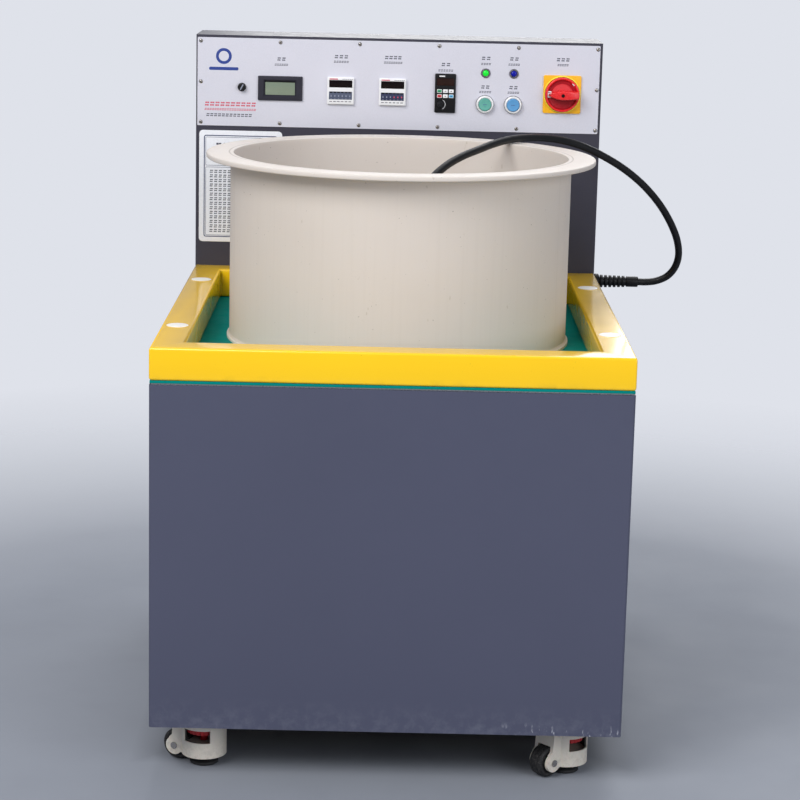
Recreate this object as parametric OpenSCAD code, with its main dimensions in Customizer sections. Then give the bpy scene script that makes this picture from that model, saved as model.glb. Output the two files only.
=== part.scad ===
// Magnetic polishing machine with a plastic barrel, on four levelling casters. Millimetres.
// Origin: centre of the footprint, on the floor. +Z is up and the operator stands on the -Y side.

/* [Cabinet] */
// Width of the cabinet, the table frame and the console
body_w = 720; // [710:5:740]
// Depth over the cabinet and the console
body_d = 940; // [930:5:960]
// Height of the cabinet's walls
cabinet_h = 532; // [526:2:560]
// Thickness of the folded sheet metal
sheet_t = 2; // [1.5:0.5:2]
// Height of the levelling casters
caster_h = 84; // [84:1:90]

/* [Table] */
// Side of the frame's square tube
tube_s = 50; // [50:1:55]
// Wall of the frame's square tube
tube_wall = 3; // [2:0.5:4]
// Thickness of the stainless top plate
plate_t = 2.5; // [2:0.5:3]
// Thickness of the rubber mat
mat_t = 4; // [3:0.5:5]

/* [Barrel] */
// Outer radius of the barrel's wall
barrel_r = 275; // [270:1:278]
// Thickness of the barrel's wall
barrel_wall = 5; // [4:0.5:6]
// Height of the barrel with its flange
barrel_h = 300; // [296:1:304]
// Outer radius of the barrel's flange
flange_r = 314; // [305:1:318]
// How far the barrel stands right of the table's centre
barrel_off = 6; // [0:1:8]

/* [Console] */
// Depth of the console
console_d = 136; // [130:2:140]
// Height of the console's top over the floor
console_top = 1083; // [1083:1:1100]
// Thickness of the control panel
panel_t = 1.5; // [1:0.5:2]
// Height of the control panel
panel_h = 155.5; // [154:0.5:158]

/* [Lead] */
// Diameter of the power lead
cord_d = 13; // [12:0.5:13]

/* [Casters] */
// Diameter of the caster wheels
wheel_d = 48; // [46:1:48]
// How far the wheels hang over the floor while the feet carry the machine
wheel_gap = 1.2; // [1:0.1:1.5]
// Distance from the caster's swivel axis to the wheel's axle
caster_arm = 43; // [43:1:44]

/* [Hidden] */
$fn = 72;
eps = 0.01;
side_x = body_w / 2;
front_y = -body_d / 2;
back_y = body_d / 2;
cab_z0 = caster_h;
cab_z1 = cab_z0 + cabinet_h;

// table
plate_z = cab_z1;
mat_z = plate_z + plate_t;
frame_z = mat_z + mat_t;
console_face = back_y - console_d;
frame_d = console_face - front_y;
bolt_xy = [for (x = [-side_x + 25, side_x - 25], y = [front_y + 186, front_y + 634]) [x, y]];
axis_y = (front_y + console_face) / 2;

// skeleton
skel = 40;
skel_wall = 2.5;
skel_x = side_x - sheet_t;
skel_front = front_y + sheet_t;
skel_back = back_y - 2 * sheet_t;
skel_top = cab_z1 - sheet_t;
mid_rail_z = 460;
gusset_t = 5;

// barrel
base_t = 10;
lip_t = 4.5;
lip = 4;
flange_t = 8;
barrel_x = barrel_off;

// console and control panel
wall_face = console_face + panel_t;
panel_border = 4.5;
panel_shift = -1;
panel_z = console_top - panel_border - panel_h / 2;
panel_w = body_w - 7;
screw_pitch = 140.6;
screw_rows = [-71.5, 0, 71.5];
screw_head_r = 3.3;
screw_head_h = 2;
screw_r = 1.9;
fuse_at = [-278.5, 992.5];
meter_at = [-210.5, 991.5];
timer_at = [[-103, 989.5], [-11, 989.5]];
keypad_at = [82.5, 989.5];
knob_at = [74, 970];
lamp_x = [153.5, 203.5];
lamp_z = 1026.5;
button_z = 971.5;
switch_at = [290, 992];
meter_size = [79, 43];
timer_s = 48;
timer_proud = 7;
keypad_size = [37, 69];
keypad_proud = 6;
switch_s = 67;
switch_proud = 4;
info_size = [148, 200];
info_at = [-280, 814.5];
gland_y = 394;
gland_z = 649;
gland_len = 86;

// drive
beam_z = mid_rail_z + skel;
bridge_z = beam_z + skel;
bridge_t = 10;
motor_r = 82;
motor_z0 = 300;
stator_r = 48;
shaft_r = 12;
shaft_top = 590;
disc_z = 585;
disc_t = 12;
disc_r = 235;
magnet_r = 24;
magnet_h = 10;
flange_pcd_r = 65;
run = 0.05;

// casters
corners = ["front_left", "front_right", "rear_left", "rear_right"];
caster_turn = [155, 222, 205, 335];
caster_x = 281.5;
caster_inset = 82;
caster_at = [for (y = [front_y + caster_inset, back_y - caster_inset], x = [-caster_x, caster_x]) [x, y]];
axle_z = wheel_d / 2 + wheel_gap;
caster_plate_t = 4;
housing_r = 35;
housing_z = 16;
housing_top = caster_h - caster_plate_t - 4.3;
cheek_r = 14.5;
cheek_out = 19.5;
cheek_in = 13.5;
axle_r = 4;
stud_r = 6;
caster_bolt = 30;

// lead: the route from the strain relief to the coil on the barrel's floor
floor_z = frame_z + base_t;
route = [
    [446, 394, 649], [462, 394, 649], [480, 393, 652], [498, 390, 661], [511, 385, 678], [516, 377, 702],
    [511, 365, 730], [499, 352, 758], [481, 338, 788], [459, 322, 816], [432, 305, 843], [400, 287, 868],
    [364, 268, 890], [327, 249, 908], [291, 228, 920], [256, 203, 927], [222, 170, 930], [191, 133, 930],
    [163, 97, 926], [136, 62, 919], [108, 28, 911], [80, -5, 898], [54, -36, 877], [32, -62, 848],
    [14, -84, 812], [1, -102, 770], [-8, -115, 726], [-16, -126, 690], [-28, -139, 662], [-46, -157, 644],
    [-60, -172, 639], [-75, -187, 639]
];
coil_at = [-131, -128];
coil_r = 75;
plug_start = [-131, -36];
plug_axis_z = floor_z + 20;

function numbered(base) = [for (c = corners) str(base, "_", c)];

// ---- shared shapes ----

// A block given by its lowest and highest corners.
module block(low, high) {
    translate(low) cube([for (i = [0:2]) high[i] - low[i]]);
}

// A rectangle with round corners, centred.
module rounded(w, h, r) {
    square([w - 2 * r, h], center = true);
    square([w, h - 2 * r], center = true);
    for (x = [-1, 1], y = [-1, 1]) translate([x * (w / 2 - r), y * (h / 2 - r)]) circle(r);
}

// Puts its children on the control panel's face: local z points at the operator.
module on_panel(at) {
    translate([at[0], console_face, at[1]]) rotate([90, 0, 0]) children();
}

module hex_bolt(r, length, head_h) {
    translate([0, 0, -length]) cylinder(r = r, h = length + eps);
    rotate([0, 0, 30]) cylinder(r = r * 1.85, h = head_h, $fn = 6);
}

// ---- cabinet ----

module skeleton_bars(grow) {
    g = grow;
    for (x = [-1, 1]) scale([x, 1, 1]) {
        for (y = [skel_front, skel_back - skel])
            block([skel_x - skel - g, y - g, cab_z0 - g], [skel_x + g, y + skel + g, skel_top + g]);
        for (z = [cab_z0, mid_rail_z, skel_top - skel])
            block([skel_x - skel - g, skel_front - g, z - g], [skel_x + g, skel_back + g, z + skel + g]);
    }
    for (y = [skel_front, skel_back - skel], z = [cab_z0, skel_top - skel])
        block([-skel_x - g, y - g, z - g], [skel_x + g, y + skel + g, z + skel + g]);
    block([-skel_x - g, wall_face - g, skel_top - skel - g], [skel_x + g, wall_face + skel + g, skel_top + g]);
}

module base_frame() {
    gusset_x = caster_x - 46;
    gusset_y = caster_inset + 46;
    color("#3b3e46") difference() {
        union() {
            intersection() {
                skeleton_bars(0);
                translate([0, 0, cab_z0 - 1]) linear_extrude(cabinet_h + 2) cabinet_plan(sheet_t, 3.5);
            }
            for (x = [-1, 1], y = [-1, 1]) scale([x, y, 1])
                block([gusset_x, back_y - gusset_y, cab_z0],
                      [skel_x - 10, (y > 0 ? skel_back : -skel_front) - 10, cab_z0 + gusset_t]);
        }
        skeleton_bars(-skel_wall);
        for (x = [-1, 1], y = [skel_front + skel / 2, skel_back - skel / 2])
            translate([x * (skel_x - skel / 2), y, cab_z0 - 1]) cylinder(r = 5, h = 10);
        for (p = bolt_xy) translate([p[0], p[1], skel_top - 10]) cylinder(r = 4 + run, h = 20);
        for (p = rear_screws())
            translate([p[0], skel_back - 10, p[1]]) rotate([-90, 0, 0]) cylinder(r = screw_r + run, h = 20);
        for (p = caster_at) translate([p[0], p[1], cab_z0 - 1]) {
            for (x = [-1, 1], y = [-1, 1])
                translate([x * caster_bolt, y * caster_bolt, 0]) cylinder(r = 4 + run, h = 10);
        }
    }
}

module cabinet_plan(inset, r) {
    x = side_x - inset;
    y = front_y + inset;
    translate([-x + r, y]) square([2 * (x - r), body_d - inset]);
    translate([-x, y + r]) square([2 * x, body_d - inset - r]);
    for (s = [-1, 1]) translate([s * (x - r), y + r]) circle(r);
}

module cabinet_shell() {
    bend_r = 5;
    fold = skel + sheet_t;
    color("#565a6e") difference() {
        translate([0, 0, cab_z0]) linear_extrude(cabinet_h) cabinet_plan(0, bend_r);
        translate([0, 0, cab_z0 - 1]) linear_extrude(cabinet_h + 1 - sheet_t) cabinet_plan(sheet_t, bend_r - sheet_t);
        block([-side_x + fold, front_y + fold, cab_z1 - 5], [side_x - fold, back_y + 1, cab_z1 + 1]);
        for (p = bolt_xy) translate([p[0], p[1], cab_z1 - 5]) cylinder(r = 4.5, h = 10);
    }
}

module rear_panel() {
    gap = 3;
    slots = 9;
    color("#4d5164") difference() {
        block([-skel_x + gap, skel_back, cab_z0 + gap], [skel_x - gap, skel_back + sheet_t, cab_z1 - sheet_t - gap]);
        for (x = [-170, 170], i = [0:slots - 1]) translate([x, skel_back - 1, 190 + i * 22])
            rotate([-90, 0, 0]) linear_extrude(5) rounded(200, 8, 3.9);
        for (p = rear_screws()) translate([p[0], skel_back - 1, p[1]]) rotate([-90, 0, 0]) cylinder(r = 2.2, h = 5);
    }
}

function rear_screws() = concat(
    [for (x = [-1, 1], z = [cab_z0 + 22, cab_z0 + cabinet_h / 2, cab_z1 - 24]) [x * (skel_x - 20), z]],
    [for (x = [-115, 115], z = [cab_z0 + 22, cab_z1 - 24]) [x, z]]);

function panel_screws() = concat(
    [for (i = [-2.5:1:2.5], r = [0, 2]) [i * screw_pitch, panel_z + screw_rows[r]]],
    [for (i = [-2.5, 2.5]) [i * screw_pitch, panel_z + screw_rows[1]]]);

module pan_screw() {
    translate([0, 0, -7]) cylinder(r = screw_r, h = 7 + eps);
    difference() {
        rotate_extrude() polygon([[0, 0], [screw_head_r, 0], [screw_head_r, 0.8], [screw_head_r - 1, screw_head_h - 0.2],
                                  [screw_head_r - 1.8, screw_head_h], [0, screw_head_h]]);
        for (a = [0, 90]) rotate([0, 0, a]) block([-1.6, -0.35, screw_head_h - 0.9], [1.6, 0.35, screw_head_h + 1]);
    }
}

module pan_screws() {
    color("#b9b9b6") {
        for (p = panel_screws()) on_panel(p) pan_screw();
        for (p = rear_screws()) translate([p[0], skel_back + sheet_t, p[1]]) rotate([-90, 0, 0]) pan_screw();
    }
}

module top_plate() {
    color("#c3c5c7") difference() {
        block([-side_x + 3, front_y + 3, plate_z], [side_x - 3, console_face, mat_z]);
        for (p = bolt_xy) translate([p[0], p[1], plate_z - 1]) cylinder(r = 4.5, h = 10);
    }
}

module rubber_mat() {
    color("#00796f") difference() {
        block([-side_x + 1, front_y + 1, mat_z], [side_x - 1, console_face, frame_z]);
        for (p = bolt_xy) translate([p[0], p[1], mat_z - 1]) cylinder(r = 4.5, h = 10);
    }
}

// A rectangular ring of the table frame, inset on its outside and its inside.
module frame_ring(inset) {
    difference() {
        block([-side_x + inset, front_y + inset, frame_z + inset],
              [side_x - inset, console_face - inset, frame_z + tube_s - inset]);
        block([-side_x + tube_s - inset, front_y + tube_s - inset, frame_z - 1],
              [side_x - tube_s + inset, console_face - tube_s + inset, frame_z + tube_s + 1]);
    }
}

module top_frame() {
    color("#ffd91a") difference() {
        frame_ring(0);
        frame_ring(tube_wall);
        for (p = bolt_xy) translate([p[0], p[1], frame_z]) {
            translate([0, 0, -1]) cylinder(r = 4.5, h = 10);
            translate([0, 0, tube_s - 10]) cylinder(r = 15, h = 20);
        }
    }
}

module frame_caps() {
    color("#f4f4f2") for (p = bolt_xy) translate([p[0], p[1], frame_z + tube_s])
        rotate_extrude() polygon([[0, 0.9], [0, -8], [14.9, -8], [14.9, 0], [17, 0], [17, 0.5], [16, 0.9]]);
}

module m8_bolts() {
    color("#9a9a98") {
        for (p = bolt_xy) translate([p[0], p[1], frame_z + tube_wall]) hex_bolt(4, 32, 5.5);
        for (a = [45:90:315]) translate([0, axis_y, 0]) rotate([0, 0, a])
            translate([flange_pcd_r, 0, bridge_z + bridge_t]) hex_bolt(4, 20, 5.5);
        for (p = caster_at, x = [-1, 1], y = [-1, 1])
            translate([p[0] + x * caster_bolt, p[1] + y * caster_bolt, cab_z0 + gusset_t])
                hex_bolt(4, gusset_t + caster_plate_t, 5.5);
    }
}

// ---- barrel ----

module barrel() {
    inner = barrel_r - barrel_wall;
    color("#d3ccc6") translate([barrel_x, axis_y, frame_z]) rotate_extrude($fn = 144) polygon([
        [0, 0], [barrel_r + lip, 0], [barrel_r + lip, lip_t], [barrel_r, lip_t], [barrel_r, barrel_h - flange_t],
        [flange_r, barrel_h - flange_t], [flange_r, barrel_h], [inner, barrel_h], [inner, base_t], [0, base_t]
    ]);
}

// ---- console ----

module console_housing() {
    window_x = 335;
    window_z = 59;
    r = 2.5;
    color("#45464f") difference() {
        translate([0, (wall_face + back_y) / 2, cab_z1]) linear_extrude(console_top - cab_z1)
            rounded(body_w, back_y - wall_face, r);
        translate([0, (wall_face + back_y) / 2, cab_z1 + sheet_t]) linear_extrude(console_top - cab_z1 - 2 * sheet_t)
            rounded(body_w - 2 * sheet_t, back_y - wall_face - 2 * sheet_t, r - sheet_t);
        block([-window_x, wall_face - 5, panel_z - window_z], [window_x, wall_face + 5, panel_z + window_z]);
        for (p = panel_screws()) on_panel(p) translate([0, 0, -10]) cylinder(r = screw_r + run, h = 20);
        translate([side_x - 10, gland_y, gland_z]) rotate([0, 90, 0]) cylinder(r = 10 + run, h = 20);
        translate([0, back_y - 60, cab_z1 - 1]) cylinder(r = 30, h = 10);
    }
}

module control_panel() {
    color("#dadae4") difference() {
        translate([panel_shift, console_face + panel_t, panel_z]) rotate([90, 0, 0]) linear_extrude(panel_t)
            rounded(panel_w, panel_h, 2);
        for (p = panel_screws()) on_panel(p) hole(screw_r + run);
        on_panel(fuse_at) hole(5.6);
        on_panel(meter_at) slot_hole(76, 40);
        for (p = timer_at) on_panel(p) slot_hole(45.5, 45.5);
        on_panel(keypad_at) slot_hole(34, 66);
        for (x = lamp_x) {
            on_panel([x, lamp_z]) hole(6.1);
            on_panel([x, button_z]) hole(11.1);
        }
        on_panel(switch_at) hole(5);
    }
}

module hole(r) {
    translate([0, 0, -10]) cylinder(r = r, h = 20);
}

module slot_hole(w, h) {
    translate([0, 0, -10]) linear_extrude(20) square([w, h], center = true);
}

module fuse_cap() {
    color("#17171a") on_panel(fuse_at) difference() {
        rotate_extrude() polygon([[0, -20], [5.25, -20], [5.25, 0.3], [7.5, 0.3], [7.5, 7], [6.5, 8], [0, 8]]);
        block([-9, -0.9, 6.4], [9, 0.9, 9]);
    }
}

module voltmeter() {
    color("#26262b") on_panel(meter_at) difference() {
        union() {
            linear_extrude(4) rounded(meter_size[0], meter_size[1], 1.5);
            translate([0, 0, -24]) linear_extrude(24 + eps) square([75.4, 39.4], center = true);
        }
        translate([-0.5, 0.5, 2]) linear_extrude(5) square([58, 28], center = true);
    }
}

module timers() {
    color("#f2f2f2") for (p = timer_at) on_panel(p) difference() {
        union() {
            linear_extrude(timer_proud) rounded(timer_s, timer_s, 2.5);
            translate([0, 0, -60]) linear_extrude(60 + eps) square([44.8, 44.8], center = true);
        }
        translate([-0.5, 12.5, timer_proud - 1]) linear_extrude(5) square([41, 13], center = true);
        translate([-0.5, -8, timer_proud - 1.5]) linear_extrude(5) square([41, 14], center = true);
    }
}

module keypad() {
    color("#1c1c20") difference() {
        on_panel(keypad_at) union() {
            linear_extrude(keypad_proud) rounded(keypad_size[0], keypad_size[1], 2);
            translate([0, 0, -22]) linear_extrude(22 + eps) square([33, 65], center = true);
        }
        on_panel(keypad_at) translate([0, 20, keypad_proud - 1]) linear_extrude(5) square([31, 13], center = true);
        on_panel(knob_at) translate([0, 0, keypad_proud - 6]) cylinder(r = 3 + run, h = 10);
    }
}

module speed_knob() {
    color("#101014") on_panel(knob_at) translate([0, 0, keypad_proud]) difference() {
        rotate_extrude() polygon([[0, -5], [3, -5], [3, 0.3], [6, 0.3], [5.6, 8], [4.8, 8.8], [0, 8.8]]);
        block([-0.4, 1, 8.2], [0.4, 5, 10]);
    }
}

module lamp_bezels() {
    color("#8f8f92") for (x = lamp_x) on_panel([x, lamp_z]) rotate_extrude() polygon([
        [5.3, -6], [0.5, -6], [0.5, -30], [6, -30], [6, 0], [8.5, 0], [8.5, 1.8], [7.4, 3.2], [5.3, 3.2]
    ]);
}

module lamp_lenses() {
    color("#20c84a") for (x = lamp_x) on_panel([x, lamp_z]) rotate_extrude() polygon(concat(
        [[0, -6], [5.25, -6], [5.25, 2.6]], [for (a = [15:15:90]) [5.25 * cos(a), 2.6 + 2.2 * sin(a)]]
    ));
}

module button_bezels() {
    color("#d9dadd") for (x = lamp_x) on_panel([x, button_z]) rotate_extrude() polygon([
        [5.4, -12], [11, -12], [11, 0], [15.5, 0], [15.5, 6], [14.3, 9], [12.4, 9], [12.4, 0.8], [5.4, 0.8]
    ]);
}

module push_button(x) {
    on_panel([x, button_z]) rotate_extrude() polygon([
        [0, -14], [5.35, -14], [5.35, 5.2], [12, 5.2], [12, 9.6], [11.2, 10.4], [0, 10.4]
    ]);
}

module green_button() {
    color("#5cb3a2") push_button(lamp_x[0]);
}

module blue_button() {
    color("#5aa6dc") push_button(lamp_x[1]);
}

module panel_contact_blocks() {
    color("#2b2b2f") {
        on_panel(switch_at) difference() {
            translate([0, 0, -46]) linear_extrude(46 - panel_t) square(48, center = true);
            translate([0, 0, -20]) cylinder(r = 4 + run, h = 30);
        }
        for (x = lamp_x) on_panel([x, button_z]) difference() {
            translate([0, 0, -52]) linear_extrude(40) square([30, 40], center = true);
            translate([0, 0, -20]) cylinder(r = 5.4, h = 30);
        }
        on_panel(fuse_at) difference() {
            translate([0, 0, -36]) cylinder(r = 8, h = 36 - panel_t);
            translate([0, 0, -21]) cylinder(r = 5.3, h = 30);
        }
    }
}

module switch_plate() {
    color("#f7c51e") on_panel(switch_at) difference() {
        linear_extrude(switch_proud) rounded(switch_s, switch_s, 3);
        hole(4 + run);
    }
}

module switch_handle() {
    dial_r = 30.5;
    dial_h = 10;
    grip_h = 30;
    color("#d81e26") on_panel(switch_at) translate([0, 0, switch_proud + 0.3]) {
        difference() {
            union() {
                difference() {
                    cylinder(r = dial_r, h = dial_h);
                    translate([0, 0, dial_h - 5]) cylinder(r = dial_r - 4, h = 10);
                }
                intersection() {
                    translate([0, 0, dial_h - 6]) linear_extrude(grip_h - dial_h + 6) rounded(58, 15, 5);
                    cylinder(r = dial_r - 1.5, h = 60);
                }
            }
            translate([0, 0, grip_h - 4]) cylinder(r = 3, h = 10);
        }
        translate([0, 0, -19]) cylinder(r = 4, h = 19 + eps);
    }
}

module info_plate() {
    color("#eef0f4") translate([info_at[0], wall_face, info_at[1]]) rotate([90, 0, 0]) linear_extrude(1)
        rounded(info_size[0], info_size[1], 7);
}

module drive_unit() {
    color("#3c3f45") {
        block([120, back_y - 92, cab_z1 + sheet_t], [250, back_y - sheet_t - eps, cab_z1 + 190]);
    }
}

// ---- drive under the table ----

module motor_mount() {
    beam_y = 110;
    color("#50535c") difference() {
        union() {
            for (s = [-1, 1])
                block([-skel_x, axis_y + s * beam_y - skel / 2, beam_z], [skel_x, axis_y + s * beam_y + skel / 2, bridge_z]);
            block([-150, axis_y - 150, bridge_z], [150, axis_y + 150, bridge_z + bridge_t]);
        }
        for (s = [-1, 1])
            block([-skel_x - 1, axis_y + s * beam_y - skel / 2 + skel_wall, beam_z + skel_wall],
                  [skel_x + 1, axis_y + s * beam_y + skel / 2 - skel_wall, bridge_z - skel_wall]);
        translate([0, axis_y, bridge_z - 1]) cylinder(r = 55 + run, h = 20);
        for (a = [45:90:315]) translate([0, axis_y, 0]) rotate([0, 0, a])
            translate([flange_pcd_r, 0, bridge_z - 1]) cylinder(r = 4.5, h = 20);
    }
}

module motor_housing() {
    fins = 20;
    color("#5c6b78") translate([0, axis_y, 0]) difference() {
        union() {
            translate([0, 0, motor_z0]) cylinder(r = 76, h = bridge_z - motor_z0);
            translate([0, 0, bridge_z - 12]) cylinder(r = 84, h = 12);
            translate([0, 0, bridge_z - eps]) cylinder(r = 55, h = 4);
            block([60, -40, 385], [motor_r + 0.5, 40, 465]);
            for (i = [2:fins - 3]) rotate([0, 0, (i + 0.5) * 360 / fins])
                block([70, -1.5, motor_z0 + 30], [motor_r, 1.5, bridge_z - 30]);
        }
        translate([0, 0, motor_z0 + 20]) cylinder(r = stator_r, h = bridge_z - motor_z0 - 40);
        translate([0, 0, motor_z0 - 1]) cylinder(r = shaft_r + run, h = 400);
        for (a = [45:90:315]) rotate([0, 0, a])
            translate([flange_pcd_r, 0, bridge_z - 12]) cylinder(r = 4 + run, h = 20);
    }
}

module motor_rotor() {
    color("#b5b5b5") translate([0, axis_y, 0]) {
        translate([0, 0, 240]) cylinder(r = shaft_r, h = shaft_top - 240);
        translate([0, 0, motor_z0 + 40]) cylinder(r = stator_r - 1, h = bridge_z - motor_z0 - 80);
    }
}

module motor_fan() {
    blades = 8;
    color("#2a2a2c") translate([0, axis_y, 250]) difference() {
        union() {
            cylinder(r = 20, h = 26);
            for (i = [0:blades - 1]) rotate([0, 0, i * 360 / blades]) block([15, -1.5, 0], [72, 1.5, 26]);
        }
        translate([0, 0, -1]) cylinder(r = shaft_r + run, h = 40);
    }
}

module fan_cowl() {
    color("#4c545c") translate([0, axis_y, 0]) difference() {
        rotate_extrude() polygon([[0, 232], [78, 232], [78, 308], [76, 308], [76, 234], [0, 234]]);
        for (i = [0:11]) rotate([0, 0, i * 30]) block([22, -3, 230], [70, 3, 236]);
    }
}

module terminal_box() {
    color("#5c6b78") block([motor_r + 0.5, axis_y - 45, 380], [motor_r + 62, axis_y + 45, 470]);
}

module magnet_disc() {
    color("#c9cbce") translate([0, axis_y, 0]) difference() {
        union() {
            translate([0, 0, disc_z]) cylinder(r = disc_r, h = disc_t);
            translate([0, 0, disc_z - 27]) cylinder(r = 30, h = 28);
        }
        translate([0, 0, disc_z - 30]) cylinder(r = shaft_r + run, h = 36);
    }
}

module magnets() {
    color("#3f3f45") translate([0, axis_y, disc_z + disc_t]) {
        for (ring = [[195, 12], [105, 6]], i = [0:ring[1] - 1])
            rotate([0, 0, i * 360 / ring[1]]) translate([ring[0], 0, 0]) cylinder(r = magnet_r, h = magnet_h);
    }
}

// ---- power lead ----

module strain_relief() {
    ribs = 6;
    rib_pitch = 8;
    rib_x = 16;
    profile = concat(
        [[0, -12], [10, -12], [10, 0], [13.5, 0], [13.5, 12], [10, 13]],
        [for (i = [0:ribs - 1], p = [[0, 8.3], [0.5, 11.6], [4.5, 11.6], [5, 8.3]])
            [p[1] - i * 0.25, rib_x + i * rib_pitch + p[0]]],
        [[8, rib_x + ribs * rib_pitch], [9.6, rib_x + ribs * rib_pitch + 1], [8.6, gland_len - 1],
         [cord_d / 2 + 1, gland_len], [0, gland_len]]);
    color("#141416") translate([side_x, gland_y, gland_z]) rotate([0, 90, 0]) rotate_extrude() polygon(profile);
}

// The ring of points round one point of the route, square to the lead's direction there.
function unit(v) = v / norm(v);
function heading(i) = unit(route[min(i + 1, len(route) - 1)] - route[max(i - 1, 0)]);
function side_of(i) = unit(cross([0.35, -0.9, 0.26], heading(i)));
function ring(i, sides) = let (s = side_of(i), t = cross(heading(i), s))
    [for (k = [0:sides - 1]) route[i] + cord_d / 2 * (cos(k * 360 / sides) * s + sin(k * 360 / sides) * t)];

module power_cord() {
    sides = 10;
    n = len(route);
    color("#1a1a1d") polyhedron(
        points = [for (i = [0:n - 1]) each ring(i, sides)],
        faces = concat(
            [[for (k = [sides - 1:-1:0]) k]],
            [for (i = [0:n - 2], k = [0:sides - 1])
                [i * sides + k, i * sides + (k + 1) % sides, (i + 1) * sides + (k + 1) % sides, (i + 1) * sides + k]],
            [[for (k = [0:sides - 1]) (n - 1) * sides + k]]));
}

module cord_coil() {
    color("#1a1a1d") translate([coil_at[0], coil_at[1], floor_z]) rotate_extrude()
        translate([coil_r, cord_d]) rounded(2 * cord_d, 2 * cord_d, 5);
}

module plug() {
    color("#202024") translate([plug_start[0], plug_start[1], plug_axis_z]) rotate([0, 90, 0]) {
        rotate_extrude() polygon([[0, 0], [8.5, 0], [9.5, 38], [14, 42], [20, 52], [20, 88], [18, 96], [18, 104], [0, 104]]);
        for (a = [0:120:240]) rotate([0, 0, a]) translate([9, 0, 103]) cylinder(r = 2.4, h = 21);
    }
}

// ---- casters ----

module caster_place(i) {
    translate([caster_at[i][0], caster_at[i][1], 0]) rotate([0, 0, caster_turn[i]]) children();
}

module caster_plates() {
    half = 36.5;
    color("#b8b4a8") for (p = caster_at) translate([p[0], p[1], 0]) difference() {
        union() {
            translate([0, 0, caster_h - caster_plate_t]) linear_extrude(caster_plate_t) rounded(2 * half, 2 * half, 5);
            translate([0, 0, housing_top + 0.3]) cylinder(r = 27, h = 4.1);
            translate([0, 0, housing_top - 6]) cylinder(r = 8, h = 8);
        }
        for (x = [-1, 1], y = [-1, 1])
            translate([x * caster_bolt, y * caster_bolt, caster_h - 10]) cylinder(r = 4 + run, h = 20);
    }
}

module arm_profile() {
    polygon([[0, housing_z], [34, housing_z], [caster_arm - 4, axle_z - 2], [caster_arm + 7, axle_z - 2],
             [caster_arm + 9, 38], [caster_arm + 4, 43], [caster_arm + 1, housing_top], [0, housing_top]]);
    translate([caster_arm, axle_z]) circle(cheek_r);
}

module thumb_window(side) {
    half = 40;
    translate([0, 0, 41]) linear_extrude(20) polygon(concat(
        [for (a = [-half:10:half]) 24 * [cos(side * 95 + a), sin(side * 95 + a)]],
        [for (a = [half:-10:-half]) (housing_r + 6) * [cos(side * 95 + a), sin(side * 95 + a)]]));
}

module caster_housing(i) {
    web_z = 26;
    web_t = 11;
    roof_z = 66;
    color("#cfc8bb") caster_place(i) difference() {
        union() {
            translate([0, 0, housing_z]) cylinder(r = housing_r, h = housing_top - housing_z);
            rotate([90, 0, 0]) translate([0, 0, -cheek_out]) linear_extrude(2 * cheek_out) arm_profile();
        }
        translate([0, 0, web_z + web_t]) cylinder(r = housing_r - 4.5, h = roof_z - web_z - web_t);
        translate([0, 0, housing_z - 1]) cylinder(r = housing_r - 4.5, h = web_z - housing_z + 1);
        translate([0, 0, web_z - 1]) cylinder(r = stud_r + run, h = 20);
        translate([0, 0, roof_z + 2]) cylinder(r = 8 + run, h = 20);
        translate([caster_arm, 0, axle_z]) rotate([90, 0, 0])
            cylinder(r = wheel_d / 2 + 2, h = 2 * cheek_in, center = true);
        block([caster_arm - wheel_d / 2 - 1, -cheek_in, 0], [caster_arm + 20, cheek_in, axle_z - 5]);
        translate([caster_arm, 0, axle_z]) rotate([90, 0, 0]) cylinder(r = axle_r + run, h = 60, center = true);
        for (side = [-1, 1]) thumb_window(side);
    }
}

module caster_axle(i) {
    color("#a8a8a6") caster_place(i) translate([caster_arm, 0, axle_z]) rotate([90, 0, 0]) {
        cylinder(r = axle_r, h = 2 * cheek_out + 2, center = true);
        for (s = [-1, 1]) translate([0, 0, s * (cheek_out + 0.75)]) cylinder(r = 5.5, h = 1.5, center = true);
    }
}

module caster_wheel(i) {
    half_w = 12.5;
    r = wheel_d / 2;
    color("#1b1b1e") caster_place(i) translate([caster_arm, 0, axle_z]) rotate([90, 0, 0]) rotate_extrude() polygon([
        [axle_r + run, -half_w], [10, -half_w], [10, -half_w + 2], [r - 7, -half_w + 2], [r - 6, -half_w],
        [r - 2, -half_w], [r, -half_w + 2.5], [r, half_w - 2.5], [r - 2, half_w], [r - 6, half_w],
        [r - 7, half_w - 2], [10, half_w - 2], [10, half_w], [axle_r + run, half_w]
    ]);
}

module caster_thumbwheel(i) {
    notches = 24;
    wheel_r = 27;
    color("#b01d22") caster_place(i) {
        difference() {
            translate([0, 0, 51.5]) cylinder(r = wheel_r, h = 9);
            for (k = [0:notches - 1]) rotate([0, 0, k * 360 / notches])
                translate([wheel_r + 0.6, 0, 50]) cylinder(r = 1.8, h = 12);
        }
        translate([0, 0, 5.8]) cylinder(r = stud_r, h = 56);
    }
}

module caster_foot(i) {
    color("#1d1d20") caster_place(i) rotate_extrude() polygon([
        [0, 0], [21, 0], [22, 1], [22, 5], [17, 8], [10, 8], [10, 13], [stud_r + run, 13], [stud_r + run, 5.5], [0, 5.5]
    ]);
}

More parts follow.
